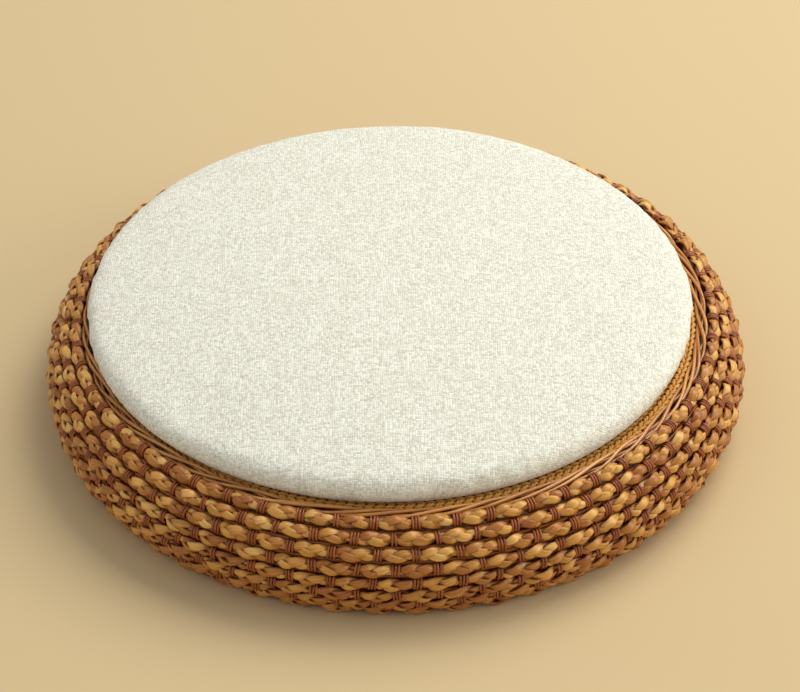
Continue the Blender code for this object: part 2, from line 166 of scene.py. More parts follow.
class FinishTree:
    """One material and the nodes that make its finish."""

    def __init__(self, name: str) -> None:
        """Starts a material with only a Principled shader and its output.

        Args:
            name: The material's name.
        """
        self.material = bpy.data.materials.new(name)
        self.material.use_nodes = True
        self.nodes = self.material.node_tree.nodes
        self.links = self.material.node_tree.links
        self.shader = self.nodes["Principled BSDF"]

    def node(self, kind: str, settings: Optional[dict] = None, values: Optional[dict] = None) -> bpy.types.Node:
        """Adds one node.

        Args:
            kind: The node's type.
            settings: Its properties, and under "stops" the stops of a ramp as (place, colour).
            values: Its inputs by name or number, each a value, a Signal or a socket.

        Returns:
            The node.
        """
        made = self.nodes.new(kind)
        for key, value in (settings or {}).items():
            if key != "stops":
                setattr(made, key, value)
                continue
            ramp = made.color_ramp
            while len(ramp.elements) < len(value):
                ramp.elements.new(1.0)
            for element, (place, colour) in zip(ramp.elements, value):
                element.position = place
                element.color = (*colour, 1.0)
        for key, value in (values or {}).items():
            self.feed(made.inputs[key], value)
        return made

    def feed(self, socket: bpy.types.NodeSocket, value: object) -> None:
        """Links or sets one input.

        Args:
            socket: The input.
            value: A Signal or an output socket to link, or a plain value to set.
        """
        if isinstance(value, Signal):
            self.links.new(value.socket, socket)
        elif isinstance(value, bpy.types.NodeSocket):
            self.links.new(value, socket)
        else:
            socket.default_value = value

    def attribute(self, name: str) -> Signal:
        """A named number stored on the mesh."""
        return Signal(self, self.node("ShaderNodeAttribute", {"attribute_name": name}).outputs["Fac"])

    def uv(self) -> bpy.types.NodeSocket:
        """The piece's own UV map, which is in metres."""
        return self.node("ShaderNodeUVMap", {"uv_map": "UVMap"}).outputs["UV"]

    def place(self) -> bpy.types.NodeSocket:
        """Object coordinates."""
        return self.node("ShaderNodeTexCoord").outputs["Object"]

    def stretched(self, vector: bpy.types.NodeSocket, scale: tuple[float, float, float],
                  turn: float = 0.0) -> bpy.types.NodeSocket:
        """A vector scaled by axis and turned about Z.

        Args:
            vector: What to scale.
            scale: The scale on each axis.
            turn: The turn about Z in radians.

        Returns:
            The new vector.
        """
        made = self.node("ShaderNodeMapping", {}, {"Vector": vector, "Scale": scale, "Rotation": (0.0, 0.0, turn)})
        return made.outputs[0]

    def parts(self, vector: bpy.types.NodeSocket) -> tuple[Signal, Signal, Signal]:
        """The three numbers of a vector."""
        made = self.node("ShaderNodeSeparateXYZ", {}, {0: vector})
        return tuple(Signal(self, output) for output in made.outputs)

    def joined(self, x: Number, y: Number, z: Number = 0.0) -> bpy.types.NodeSocket:
        """A vector of three numbers."""
        return self.node("ShaderNodeCombineXYZ", {}, {0: x, 1: y, 2: z}).outputs[0]

    def noise(self, vector: bpy.types.NodeSocket, scale: float, detail: float = 2.0,
              rough: float = 0.5) -> Signal:
        """Cloudy variation.

        Args:
            vector: Where to read it.
            scale: Features for each unit of the vector.
            detail: Octaves.
            rough: How strong the finer octaves are.

        Returns:
            A number about 0.5.
        """
        made = self.node("ShaderNodeTexNoise", {}, {"Vector": vector, "Scale": scale, "Detail": detail,
                                                   "Roughness": rough})
        return Signal(self, made.outputs[0])

    def scattered(self, vector: bpy.types.NodeSocket) -> Signal:
        """A random number from 0 to 1 for each whole place."""
        made = self.node("ShaderNodeTexWhiteNoise", {"noise_dimensions": "2D"}, {"Vector": vector})
        return Signal(self, made.outputs["Value"])

    def mixed(self, share: Number, first: object, second: object, how: str = "MIX") -> bpy.types.NodeSocket:
        """One colour laid over another.

        Args:
            share: How much of the second shows.
            first: The colour below.
            second: The colour above.
            how: The blend type.

        Returns:
            The mixed colour.
        """
        both = [(*c, 1.0) if isinstance(c, tuple) else c for c in (first, second)]
        made = self.node("ShaderNodeMix", {"data_type": "RGBA", "blend_type": how},
                         {0: share, 6: both[0], 7: both[1]})
        return made.outputs[2]

    def ramp(self, share: Number, stops: Sequence[tuple[float, Colour]]) -> bpy.types.NodeSocket:
        """A colour read from a ramp."""
        return self.node("ShaderNodeValToRGB", {"stops": stops}, {0: share}).outputs[0]

    def bumped(self, height: Number, strength: float, depth: float,
               over: Optional[bpy.types.NodeSocket] = None) -> bpy.types.NodeSocket:
        """A surface raised by a height.

        Args:
            height: The height, about 0 to 1.
            strength: How strongly it shows.
            depth: The relief in metres between heights 0 and 1.
            over: A coarser bump below this one.

        Returns:
            The new normal.
        """
        values = {"Strength": strength, "Distance": depth, "Height": height}
        if over is not None:
            values["Normal"] = over
        return self.node("ShaderNodeBump", {}, values).outputs[0]

    def finished(self, values: dict) -> bpy.types.Material:
        """Sets the shader's own inputs.

        Args:
            values: The inputs by name.

        Returns:
            The material.
        """
        for key, value in values.items():
            self.feed(self.shader.inputs[key], (*value, 1.0) if key == "Base Color" and isinstance(value, tuple)
                      else value)
        return self.material


# ----------------------------------------------------------------------------------------------------- finishes


@dataclass(frozen=True)
class PlaitFinish:
    """Varnished water hyacinth: streaky flat stems, with painted shade where they dip under each other."""

    name: str = "plaited_hyacinth"
    # painted shade colour for crevices, leaf edges, pinches and backs
    deep: Colour = (0.150, 0.0210, 0.0012)
    low: Colour = (0.290, 0.066, 0.0080)
    middle: Colour = (0.470, 0.178, 0.0240)
    high: Colour = (0.720, 0.360, 0.0660)
    pale: Colour = (0.900, 0.600, 0.2100)
    fibre: float = 900.0

    def material(self) -> bpy.types.Material:
        """Builds the material.

        Returns:
            The material.
        """
        tree = FinishTree(self.name)
        uv = tree.uv()
        along = tree.stretched(uv, (1.0, 9.0, 1.0))
        fibres = tree.noise(tree.stretched(uv, (0.10, 1.0, 1.0)), self.fibre, 3.0, 0.65)
        patches = tree.noise(along, 95.0, 3.0, 0.6)
        tone = tree.attribute("tone")
        depth = tree.attribute("depth")
        share = (tone * 0.66 + fibres * 0.62 + patches * 0.44 - 0.37).clipped()
        colour = tree.ramp(share, [(0.0, self.low), (0.36, self.middle), (0.70, self.high), (1.0, self.pale)])
        # Painted shade from the depth attribute, plus real darker fibre streaks, mixes in the deep colour.
        shade = (depth.between(0.10, 0.95) + (0.52 - fibres) * 0.25).clipped()
        colour = tree.mixed(shade, colour, self.deep)
        scuff = (fibres * 0.22 + patches * 0.18 + 0.15).clipped()
        normal = tree.bumped(fibres, 0.80, 0.45 * MM, tree.bumped(patches, 0.35, 0.7 * MM))
        return tree.finished({"Base Color": colour, "Roughness": scuff, "Normal": normal,
                              "Coat Weight": ((1.0 - shade) * 0.36).clipped(), "Coat Roughness": 0.22,
                              "Specular IOR Level": 0.32})


@dataclass(frozen=True)
class CaneFinish:
    """Cane strand or pole: long fine grain, a little darker in patches, varnished or bare."""

    name: str
    dark: Colour
    light: Colour
    roughness: float = 0.35
    coat: float = 0.25
    grain: float = 1400.0
    knot_dark: float = 0.0

    def material(self) -> bpy.types.Material:
        """Builds the material.

        Returns:
            The material.
        """
        tree = FinishTree(self.name)
        uv = tree.uv()
        grain = tree.noise(tree.stretched(uv, (0.03, 1.0, 1.0)), self.grain, 2.0, 0.6)
        patches = tree.noise(tree.stretched(uv, (1.0, 2.0, 1.0)), 38.0, 3.0, 0.6)
        share = (grain * 0.75 + patches * 1.15 - 0.45 + tree.attribute("tone") * 0.35 - 0.17).clipped()
        colour = tree.mixed(share, self.dark, self.light)
        # Painted shade from the depth attribute, with real darkening at the knuckles, mixes in a darkened copy of
        # the dark colour.
        shade = (tree.attribute("depth") * 0.8 + tree.attribute("knot") * self.knot_dark).clipped()
        colour = tree.mixed(shade, colour, tuple(c * 0.30 for c in self.dark))
        gloss = (grain * 0.20 + (self.roughness - 0.10)).clipped()
        normal = tree.bumped(grain, 0.35, 0.18 * MM)
        return tree.finished({"Base Color": colour, "Roughness": gloss, "Normal": normal,
                              "Coat Weight": self.coat, "Coat Roughness": 0.2})


@dataclass(frozen=True)
class StrawFinish:
    """Twisted golden straw cord, with painted shade between the turns."""

    name: str = "twisted_straw"
    # painted shade colour
    dark: Colour = (0.200, 0.064, 0.0060)
    middle: Colour = (0.740, 0.310, 0.0380)
    light: Colour = (0.980, 0.570, 0.1250)
    drawn_twist: bool = False
    cord: float = 3.4 * MM
    stitch: float = 2.9 * MM

    def material(self) -> bpy.types.Material:
        """Builds the material.

        Returns:
            The material.
        """
        tree = FinishTree(self.name + ("_deck" if self.drawn_twist else ""))
        uv = tree.uv()
        straw = tree.noise(tree.stretched(uv, (0.25, 1.0, 1.0)), 1500.0, 2.0, 0.6)
        patches = tree.noise(uv, 60.0, 2.0, 0.5)
        share = (straw * 0.65 + patches * 0.75 - 0.22).clipped()
        depth = tree.attribute("depth")
        normal = tree.bumped(straw, 0.4, 0.2 * MM)
        if self.drawn_twist:
            around, across, _ = tree.parts(uv)
            row = (across / self.cord).floor()
            lean = (row * 0.5 - (row * 0.5).floor()) * 4.0 - 1.0
            twist = ((around + lean * across * 0.8) * (math.pi / self.stitch)).sine().size()
            # Painted light on the crest of each drawn stitch and painted shade in the grooves between them.
            share = (share + twist * 0.35 - 0.25).clipped()
            depth = (depth + (1.0 - twist.between(0.05, 0.55)) * 0.75).clipped()
            normal = tree.bumped(twist, 0.9, 0.7 * MM, normal)
        colour = tree.ramp(share, [(0.0, self.middle), (1.0, self.light)])
        # Painted shade: the depth attribute mixes in the dark colour.
        colour = tree.mixed(depth.between(0.15, 0.95), colour, self.dark)
        return tree.finished({"Base Color": colour, "Roughness": (straw * 0.25 + 0.30).clipped(), "Normal": normal,
                              "Coat Weight": 0.12, "Coat Roughness": 0.3})


@dataclass(frozen=True)
class WeaveFinish:
    """Plain-woven cloth on a UV map in metres, with uneven threads, slubs and flecks."""

    name: str
    light: Colour
    shade: Colour
    fleck: Colour
    thread: float = 1.35 * MM
    relief: float = 0.45 * MM
    unevenness: float = 1.05
    fleck_share: float = 0.5
    turn: float = 0.0

    def material(self) -> bpy.types.Material:
        """Builds the material.

        Returns:
            The material.
        """
        tree = FinishTree(self.name)
        cloth = tree.stretched(tree.uv(), (1.0 / self.thread,) * 2 + (1.0,), self.turn)
        u0, v0, _ = tree.parts(cloth)
        drift_u = tree.noise(tree.stretched(cloth, (0.16, 0.045, 1.0)), 1.0, 3.0, 0.6) - 0.5
        drift_v = tree.noise(tree.stretched(cloth, (0.045, 0.16, 1.0)), 1.7, 3.0, 0.6) - 0.5
        u, v = u0 + drift_u * (self.unevenness * 4.0), v0 + drift_v * (self.unevenness * 4.0)
        warp_end, weft_end = u.floor(), v.floor()
        warp_slub = tree.noise(tree.joined(warp_end * 3.17, v * 0.11), 1.0, 3.0, 0.6)
        weft_slub = tree.noise(tree.joined(u * 0.11, weft_end * 3.71), 1.0, 3.0, 0.6)
        warp = (u * math.pi).sine().size() + ((v + warp_end) * math.pi).sine() + warp_slub * 0.9
        weft = (v * math.pi).sine().size() - ((u + weft_end) * math.pi).sine() + weft_slub * 0.9
        crossing = tree.scattered(tree.joined(warp_end, weft_end))
        height = (warp.larger(weft) * 0.36 - 0.08 + crossing * 0.22).clipped()
        flecks = tree.noise(tree.joined(u0 * 0.62, v0 * 0.62), 1.0, 2.0, 0.7).between(0.52, 0.70)
        streak = (warp_slub * 0.9 + weft_slub * 0.9 - 0.9).size().between(0.16, 0.42)
        # Painted light and shade on the threads: raised parts take the light colour and sunk parts the shade colour,
        # while the crossing term adds real random tone.
        lit = (height.between(0.05, 0.85) * (0.40 + crossing * 0.85)).clipped()
        colour = tree.mixed(lit, self.shade, self.light)
        colour = tree.mixed((flecks * self.fleck_share * (1.15 - crossing)).clipped(), colour, self.fleck)
        colour = tree.mixed(streak * 0.22, colour, self.fleck)
        normal = tree.bumped(height, 0.85, self.relief)
        return tree.finished({"Base Color": colour, "Roughness": (0.97 - height * 0.10).clipped(), "Normal": normal,
                              "Sheen Weight": 0.12, "Sheen Roughness": 0.6, "Specular IOR Level": 0.25})


@dataclass(frozen=True)
class TimberFinish:
    """Planed softwood or sanded ply: long grain on object coordinates."""

    name: str
    dark: Colour
    light: Colour
    rings: float = 55.0
    lengthwise: tuple[float, float, float] = (0.06, 1.0, 1.0)

    def material(self) -> bpy.types.Material:
        """Builds the material.

        Returns:
            The material.
        """
        tree = FinishTree(self.name)
        spot = tree.stretched(tree.place(), self.lengthwise)
        figure = tree.noise(spot, self.rings, 4.0, 0.55)
        rings = ((figure * 34.0).sine() * 0.5 + 0.5)
        fibres = tree.noise(spot, self.rings * 22.0, 2.0, 0.6)
        share = (rings * 0.55 + fibres * 0.75 - 0.15).clipped()
        colour = tree.mixed(share, self.dark, self.light)
        normal = tree.bumped(fibres, 0.35, 0.25 * MM)
        return tree.finished({"Base Color": colour, "Roughness": (fibres * 0.2 + 0.50).clipped(), "Normal": normal})


@dataclass(frozen=True)
class MetalFinish:
    """Small plated metal part with fine brushing and a little tarnish."""

    name: str
    bright: Colour
    dull: Colour
    roughness: float = 0.32

    def material(self) -> bpy.types.Material:
        """Builds the material.

        Returns:
            The material.
        """
        tree = FinishTree(self.name)
        spot = tree.place()
        brushed = tree.noise(tree.stretched(spot, (1.0, 0.1, 1.0)), 4000.0, 2.0)
        tarnish = tree.noise(spot, 420.0, 3.0).between(0.45, 0.75)
        colour = tree.mixed(tarnish * 0.6, self.bright, self.dull)
        rough = (brushed * 0.2 + tarnish * 0.2 + (self.roughness - 0.1)).clipped()
        return tree.finished({"Base Color": colour, "Metallic": 1.0, "Roughness": rough,
                              "Normal": tree.bumped(brushed, 0.2, 0.05 * MM)})


@dataclass(frozen=True)
class SoftFillFinish:
    """Foam or fibre wadding: fine pores or tangled fibres."""

    name: str
    light: Colour
    dark: Colour
    grain: float = 900.0

    def material(self) -> bpy.types.Material:
        """Builds the material.

        Returns:
            The material.
        """
        tree = FinishTree(self.name)
        pores = tree.noise(tree.place(), self.grain, 3.0, 0.7)
        colour = tree.mixed(pores.between(0.35, 0.6), self.dark, self.light)
        return tree.finished({"Base Color": colour, "Roughness": 0.95, "Normal": tree.bumped(pores, 0.8, 0.6 * MM)})


# ------------------------------------------------------------------------------------------------- mesh helpers


def linked(name: str, mesh: bpy.types.Mesh, look: bpy.types.Material) -> bpy.types.Object:
    """Puts a finished mesh in the scene.

    Args:
        name: The piece's name.
        mesh: Its mesh, in place.
        look: Its material.

    Returns:
        The piece.
    """
    mesh.materials.clear()
    mesh.materials.append(look)
    made = bpy.data.objects.new(name, mesh)
    bpy.context.scene.collection.objects.link(made)
    return made


def place_piece(piece: bpy.types.Object, body: str, nodes: Sequence[str] = ()) -> bpy.types.Object:
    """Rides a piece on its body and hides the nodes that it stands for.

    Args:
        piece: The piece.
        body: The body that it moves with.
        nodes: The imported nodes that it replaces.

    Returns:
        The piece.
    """
    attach(piece, body)
    if nodes:
        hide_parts(*nodes)
    LOG.info("%s rides on %s, %d faces", piece.name, body, len(piece.data.polygons))
    return piece


Placing = Callable[[np.ndarray, np.ndarray], dict]


def rolled_grid(name: str, stations: int, sides: int, placing: Placing) -> bpy.types.Mesh:
    """Rolls a flat grid into a closed tube that runs round and meets itself.

    Args:
        name: The mesh's name.
        stations: Faces along the tube.
        sides: Faces round it.
        placing: Takes the shares along and round, and returns "co", "uv" and the point attributes as arrays.

    Returns:
        The mesh, with its seams merged.
    """
    bm = bmesh.new()
    bmesh.ops.create_grid(bm, x_segments=stations, y_segments=sides, size=0.5)
    mesh = settled_mesh(name, bm)
    flat = mesh_points(mesh) + 0.5
    made = placing(flat[:, 0], flat[:, 1])
    made["co"][:, 2] = np.maximum(made["co"][:, 2], GROUND)
    mesh.vertices.foreach_set("co", made["co"].ravel())
    layer = mesh.uv_layers.new(name="UVMap")
    layer.data.foreach_set("uv", made["uv"][corner_points(mesh)].ravel())
    # The depth attribute holds painted shade.
    for key in ("tone", "depth", "knot"):
        values = made.get(key, np.zeros(len(flat)))
        stored = mesh.attributes.new(key, "FLOAT", "POINT")
        stored.data.foreach_set("value", np.ascontiguousarray(values, dtype=np.float32))
    return merged([mesh])


def settled_mesh(name: str, bm: bmesh.types.BMesh, smooth: bool = True,
                 crease: Optional[float] = None) -> bpy.types.Mesh:
    """Turns a bmesh into a mesh and frees it.

    Args:
        name: The mesh's name.
        bm: The bmesh, which is used up.
        smooth: Whether its faces are shaded smooth.
        crease: The steepest edge in radians that is still smooth, where one is.

    Returns:
        The mesh.
    """
    mesh = bpy.data.meshes.new(name)
    bm.to_mesh(mesh)
    bm.free()
    if smooth:
        mesh.shade_smooth()
    if crease is not None:
        mesh.set_sharp_from_angle(angle=crease)
    return mesh


def lay_uv(bm: bmesh.types.BMesh, read: Callable[[Vector, Vector], Point]) -> None:
    """Gives a bmesh a UV map.

    Args:
        bm: The bmesh.
        read: Takes a corner's place and its face's middle, and returns the corner's UV.
    """
    layer = bm.loops.layers.uv.new("UVMap")
    for face in bm.faces:
        middle = face.calc_center_median()
        for loop in face.loops:
            loop[layer].uv = read(loop.vert.co, middle)


def sliced(bm: bmesh.types.BMesh, place: Sequence[float], way: Sequence[float], clear: bool = False) -> None:
    """Cuts a bmesh along a plane.

    Args:
        bm: The bmesh.
        place: A point of the plane.
        way: The plane's upper side.
        clear: Whether what lies below the plane goes.
    """
    bmesh.ops.bisect_plane(bm, geom=bm.verts[:] + bm.edges[:] + bm.faces[:], plane_co=place, plane_no=way,
                           clear_inner=clear, dist=CUT)


def mesh_points(mesh: bpy.types.Mesh, key: str = "co") -> np.ndarray:
    """A mesh's points, or their normals, as three columns."""
    flat = np.empty(len(mesh.vertices) * 3)
    mesh.vertices.foreach_get(key, flat)
    return flat.reshape(-1, 3)


def corner_points(mesh: bpy.types.Mesh) -> np.ndarray:
    """The point that each face corner of a mesh stands on."""
    corners = np.empty(len(mesh.loops), dtype=np.int32)
    mesh.loops.foreach_get("vertex_index", corners)
    return corners


def polar(radius: np.ndarray, angle: np.ndarray, height: np.ndarray) -> np.ndarray:
    """Points about the seat's axis, as three columns."""
    return np.stack([radius * np.cos(angle), radius * np.sin(angle), height], axis=1)


def unit(vectors: np.ndarray) -> np.ndarray:
    """Vectors brought to length 1, row by row."""
    return vectors / np.linalg.norm(vectors, axis=1, keepdims=True)


def run_along(middle: Callable[[np.ndarray], np.ndarray], angle: np.ndarray, stations: int) -> np.ndarray:
    """The direction of a centreline at some bearings, read half a station each way.

    Args:
        middle: The centreline, as a function of the bearing.
        angle: The bearings.
        stations: Stations in one turn.

    Returns:
        Unit vectors.
    """
    step = math.tau / stations / 2
    return unit(middle(angle + step) - middle(angle - step))


def packed_ring(node: str) -> tuple[float, float, float]:
    """The middle radius, the middle height and the half thickness of a packed ring."""
    low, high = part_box(node)
    half = (high.z - low.z) / 2
    return high.x - half, low.z + half, half


def dress_node(name: str, look: bpy.types.Material, softening: float) -> None:
    """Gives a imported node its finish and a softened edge.

    Args:
        name: The node.
        look: Its material.
        softening: The width of the softened edge.
    """
    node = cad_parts[name]
    node.data.materials.clear()
    node.data.materials.append(look)
    soften = node.modifiers.new("softened_edge", "BEVEL")
    soften.width = softening
    soften.segments = 2
    soften.limit_method = "ANGLE"
    LOG.info("%s dressed", name)


def merged(meshes: Iterable[bpy.types.Mesh]) -> bpy.types.Mesh:
    """Joins meshes into the first one's name, merges their seams and turns their faces outwards.

    Args:
        meshes: The meshes, which are used up.

    Returns:
        One mesh.
    """
    several = list(meshes)
    name = several[0].name
    bm = bmesh.new()
    for mesh in several:
        bm.from_mesh(mesh)
    for mesh in several:
        bpy.data.meshes.remove(mesh)
    bmesh.ops.remove_doubles(bm, verts=bm.verts, dist=WELD)
    bmesh.ops.recalc_face_normals(bm, faces=bm.faces)
    return settled_mesh(name, bm)


def turned_shape(outline: Sequence[Point], segments: int) -> bmesh.types.BMesh:
    """Turns a (radius, height) outline about the vertical.

    Args:
        outline: The outline's corners.
        segments: Steps round.

    Returns:
        The turned shape.
    """
    bm = bmesh.new()
    corners = [bm.verts.new((radius, 0.0, height)) for radius, height in outline]
    sides = [bm.edges.new(pair) for pair in zip(corners, corners[1:])]
    bmesh.ops.spin(bm, geom=corners + sides, cent=(0, 0, 0), axis=(0, 0, 1), dvec=(0, 0, 0), angle=math.tau,
                   steps=segments, use_merge=True, use_duplicate=False)
    bmesh.ops.remove_doubles(bm, verts=bm.verts, dist=WELD)
    bmesh.ops.recalc_face_normals(bm, faces=bm.faces)
    return bm


def periodic_noise(rng: np.random.Generator, knots: int) -> Callable[[np.ndarray], np.ndarray]:
    """Smooth noise that closes on itself.

    Args:
        rng: Where the random values come from.
        knots: Random values in one turn.

    Returns:
        A function of the share of the turn, with values from -1 to 1.
    """
    values = rng.uniform(-1.0, 1.0, knots)

    def read(share: np.ndarray) -> np.ndarray:
        """Reads the noise at shares of the turn."""
        spot = np.mod(share, 1.0) * knots
        low = np.floor(spot).astype(int)
        blend = spot - low
        blend = blend * blend * (3.0 - 2.0 * blend)
        return values[low % knots] * (1.0 - blend) + values[(low + 1) % knots] * blend

    return read


# ------------------------------------------------------------------------------------------------ wall geometry


@dataclass(frozen=True)
class Row:
    """The middle of one plaited row and the slope of the wall there."""

    radius: float
    height: float
    slope: float

    def spot(self, angle: np.ndarray, up: np.ndarray, out: np.ndarray) -> np.ndarray:
        """Points near the row.

        Args:
            angle: Bearings about the seat.
            up: Distances up along the wall.
            out: Distances out from the wall.

        Returns:
            The points as an array of three columns.
        """
        radius = self.radius - up * math.sin(self.slope) + out * math.cos(self.slope)
        height = self.height + up * math.cos(self.slope) + out * math.sin(self.slope)
        return polar(radius, angle, height)

    def ways(self, angle: np.ndarray) -> tuple[np.ndarray, np.ndarray]:
        """Unit vectors out from the wall and up along it.

        Args:
            angle: Bearings about the seat.

        Returns:
            The outward and the upward vectors.
        """
        zero = np.zeros_like(angle)
        here = self.spot(angle, zero, zero)
        return self.spot(angle, zero, zero + 1.0) - here, self.spot(angle, zero + 1.0, zero) - here


def read_rows() -> list[Row]:
    """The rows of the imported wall, foot row first.

    Returns:
        The rows, each with the mean slope to its neighbours.
    """
    count = sum(name.startswith("plait_row_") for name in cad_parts)
    middles = [packed_ring(f"plait_row_{index}")[:2] for index in range(1, count + 1)]
    leans = [math.atan2(a[0] - b[0], b[1] - a[1]) for a, b in zip(middles, middles[1:])]
    slopes = [(below + above) / 2 for below, above in zip(leans[:1] + leans, leans + leans[-1:])]
    return [Row(radius, height, slope) for (radius, height), slope in zip(middles, slopes)]


ROWS = read_rows()


class Stagger(Enum):
    """Where a row's ties stand against those of the row below."""

    OVER = 0.0
    BETWEEN = 0.5


@dataclass
class PlaitedWall:
    """The stack of three-strand plaits and the ties that bind each row."""

    ties: int = 56
    strands: int = 3
    sway: float = 2.35 * MM
    dive: float = 1.75 * MM
    strand_width: float = 2.60 * MM
    strand_thickness: float = 1.20 * MM
    stations: int = 980
    sides: int = 12
    plait_turns: Sequence[int] = (34, 35, 35, 36, 36, 36, 35, 34)
    pinch_reach: float = 5.0 * MM
    pinch_depth: float = 1.5 * MM
    bead_swell: float = 0.9 * MM
    # painted shade: the lower rows' tones are scaled down, most at the foot
    foot_row_shaded_tone: float = 0.62
    shaded_tone_rise_per_row: float = 0.09
    tie_width: float = 0.80 * MM
    tie_pitch: float = 1.80 * MM
    tie_steps: int = 14
    seam_cord_radius: float = 1.6 * MM
    seam_cord_out: float = 1.2 * MM
    tie_sides: int = 6
    tie_stray: float = 1.5 * MM
    wander: float = 0.28
    unevenness: float = 0.30 * MM
    roll: float = 0.62
    pinched_sway: float = 0.54
    pinched_dive: float = 0.30
    pinched_width: float = 0.40
    pinched_thickness: float = 0.10
    leaf_width: float = 1.06
    leaf_taper: float = 0.34
    leaf_squareness: float = 0.86
    ridges: float = 5.0
    ridge_height: float = 0.045
    rng: np.random.Generator = field(default_factory=lambda: np.random.default_rng(SEED))

    def __post_init__(self) -> None:
        """Draws how far each tie stands off its even place, as a share of the space between ties."""
        spacing = math.tau * ROWS[0].radius / self.ties
        self.strays = self.rng.uniform(-1.0, 1.0, (len(ROWS), self.ties)) * self.tie_stray / spacing

    def tie_bearing(self, row: int, tie: int) -> float:
        """Bearing of one tie, staggered row by row.

        Args:
            row: The row, counted from the foot.
            tie: The tie, counted round.

        Returns:
            The bearing in radians.
        """
        shift = Stagger.BETWEEN if row % 2 else Stagger.OVER
        return math.tau * (tie + shift.value + self.strays[row, tie]) / self.ties

    def pinch(self, row: int, angle: np.ndarray) -> np.ndarray:
        """How tightly the ties squeeze the plait: 1 at a tie, falling to 0 between ties.

        Args:
            row: The row, counted from the foot.
            angle: Bearings about the seat.

        Returns:
            The squeeze at each bearing.
        """
        shift = Stagger.BETWEEN if row % 2 else Stagger.OVER
        turns = angle / math.tau * self.ties - shift.value
        nearest = np.round(turns).astype(int)
        away = np.abs(turns - nearest - self.strays[row, nearest % self.ties])
        return np.exp(-(away * math.tau / self.ties * ROWS[row].radius / self.pinch_reach) ** 2)

    def strand(self, row: int, number: int) -> bpy.types.Mesh:
        """One strand of a row's plait.

        Args:
            row: The row, counted from the foot.
            number: The strand, from 0.

        Returns:
            Its mesh, a closed tube.
        """
        place = ROWS[row]
        turns = self.plait_turns[row]
        wander = periodic_noise(self.rng, self.ties * 2)
        swell = periodic_noise(self.rng, turns * 4)
        fold = periodic_noise(self.rng, turns * 6)
        # Painted shade: tones of the lower rows are scaled down, darkest at the foot.
        tones = self.rng.uniform(0.0, 1.0, turns * 2 + 1) * min(1.0, self.foot_row_shaded_tone + row * self.shaded_tone_rise_per_row)
        phase = number / self.strands
        girth = math.tau * place.radius

        def middle(angle: np.ndarray) -> np.ndarray:
            """The strand's centreline."""
            share = angle / math.tau
            turn = math.tau * (turns * share + phase) + wander(share) * self.wander
            squeeze = self.pinch(row, angle)
            up = self.sway * np.sin(turn) * (1.0 - self.pinched_sway * squeeze)
            out = self.dive * np.sin(2.0 * turn) * (1.0 - self.pinched_dive * squeeze)
            out = out + self.bead_swell * (1.0 - squeeze) - self.pinch_depth * squeeze
            return place.spot(angle, up, out + swell(share) * self.unevenness)

        def placing(along: np.ndarray, around: np.ndarray) -> dict:
            """Wraps the grid round the centreline."""
            angle, spin = along * math.tau, around * math.tau
            turn = math.tau * (turns * along + phase)
            squeeze = self.pinch(row, angle)
            dip = 0.5 - 0.5 * np.sin(2.0 * turn)
            run = run_along(middle, angle, self.stations)
            out_way, up_way = place.ways(angle)
            face = out_way + up_way * (np.sin(turn) * self.roll)[:, None]
            face = unit(face - run * np.sum(face * run, axis=1, keepdims=True))
            side = np.cross(run, face)
            wide = self.strand_width * (1.0 - self.pinched_width * squeeze) * (1.0 + 0.12 * swell(along))
            wide = wide * (self.leaf_width - self.leaf_taper * dip ** 2)
            thick = self.strand_thickness * (1.0 - self.pinched_thickness * squeeze) * (1.0 + 0.14 * fold(along))
            cosine, sine = np.cos(spin), np.sin(spin)
            flat = np.sign(cosine) * np.abs(cosine) ** self.leaf_squareness
            ridge = 1.0 + self.ridge_height * np.cos(spin * self.ridges + 2.0 * fold(along))
            co = middle(angle) + side * (wide * flat * ridge)[:, None] + face * (thick * sine * ridge)[:, None]
            leaf = np.floor(np.mod(2.0 * (turns * along + phase) + 0.5, 2.0 * turns)).astype(int)
            # Painted shade: depth darkens where a strand dips under the others, at its edges, at the ties' pinch and
            # on its back.
            edge = np.abs(cosine) ** 3
            back = np.clip(0.35 - sine, 0.0, 1.0)
            depth = 0.62 * dip ** 2 + 0.66 * edge * (0.5 + dip) + 0.28 * squeeze + 0.60 * back - 0.15
            depth = np.clip(depth, 0.0, 1.0)
            return {"co": co, "uv": np.stack([along * girth + number * 0.37, around * 14.0 * MM], axis=1),
                    "tone": tones[leaf], "depth": depth}

        return rolled_grid(f"plait_{row + 1}_{number + 1}", self.stations, self.sides, placing)

    def row_ties(self, row: int) -> bpy.types.Mesh:
        """The ties of one row: two or three turns of peel at each.

        Args:
            row: The row, counted from the foot.

        Returns:
            One mesh of closed loops.
        """
        place = ROWS[row]
        loops = []
        for tie in range(self.ties):
            strands = 3 if self.rng.random() < 0.60 else 2
            lean = self.rng.uniform(-0.5, 0.5) * MM
            slip = self.rng.uniform(-0.6, 0.6) * MM
            for strand in range(strands):
                shift = (strand - (strands - 1) / 2) * self.tie_pitch + slip
                bearing = self.tie_bearing(row, tie) + shift / place.radius
                loops.append(self.tie_loop(row, bearing, lean + self.rng.uniform(-0.25, 0.25) * MM))
        seam = f"lashing_{row + 1}"
        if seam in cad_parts:
            loops.append(self.seam_cord(seam))
        return merged(loops)

    def seam_cord(self, node: str) -> bpy.types.Mesh:
        """The strand that runs round behind the seam between two rows.

        Args:
            node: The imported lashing.

        Returns:
            Its mesh, a closed tube.
        """
        radius, height, _ = packed_ring(node)
        radius += self.seam_cord_out
        stray = periodic_noise(self.rng, self.ties)

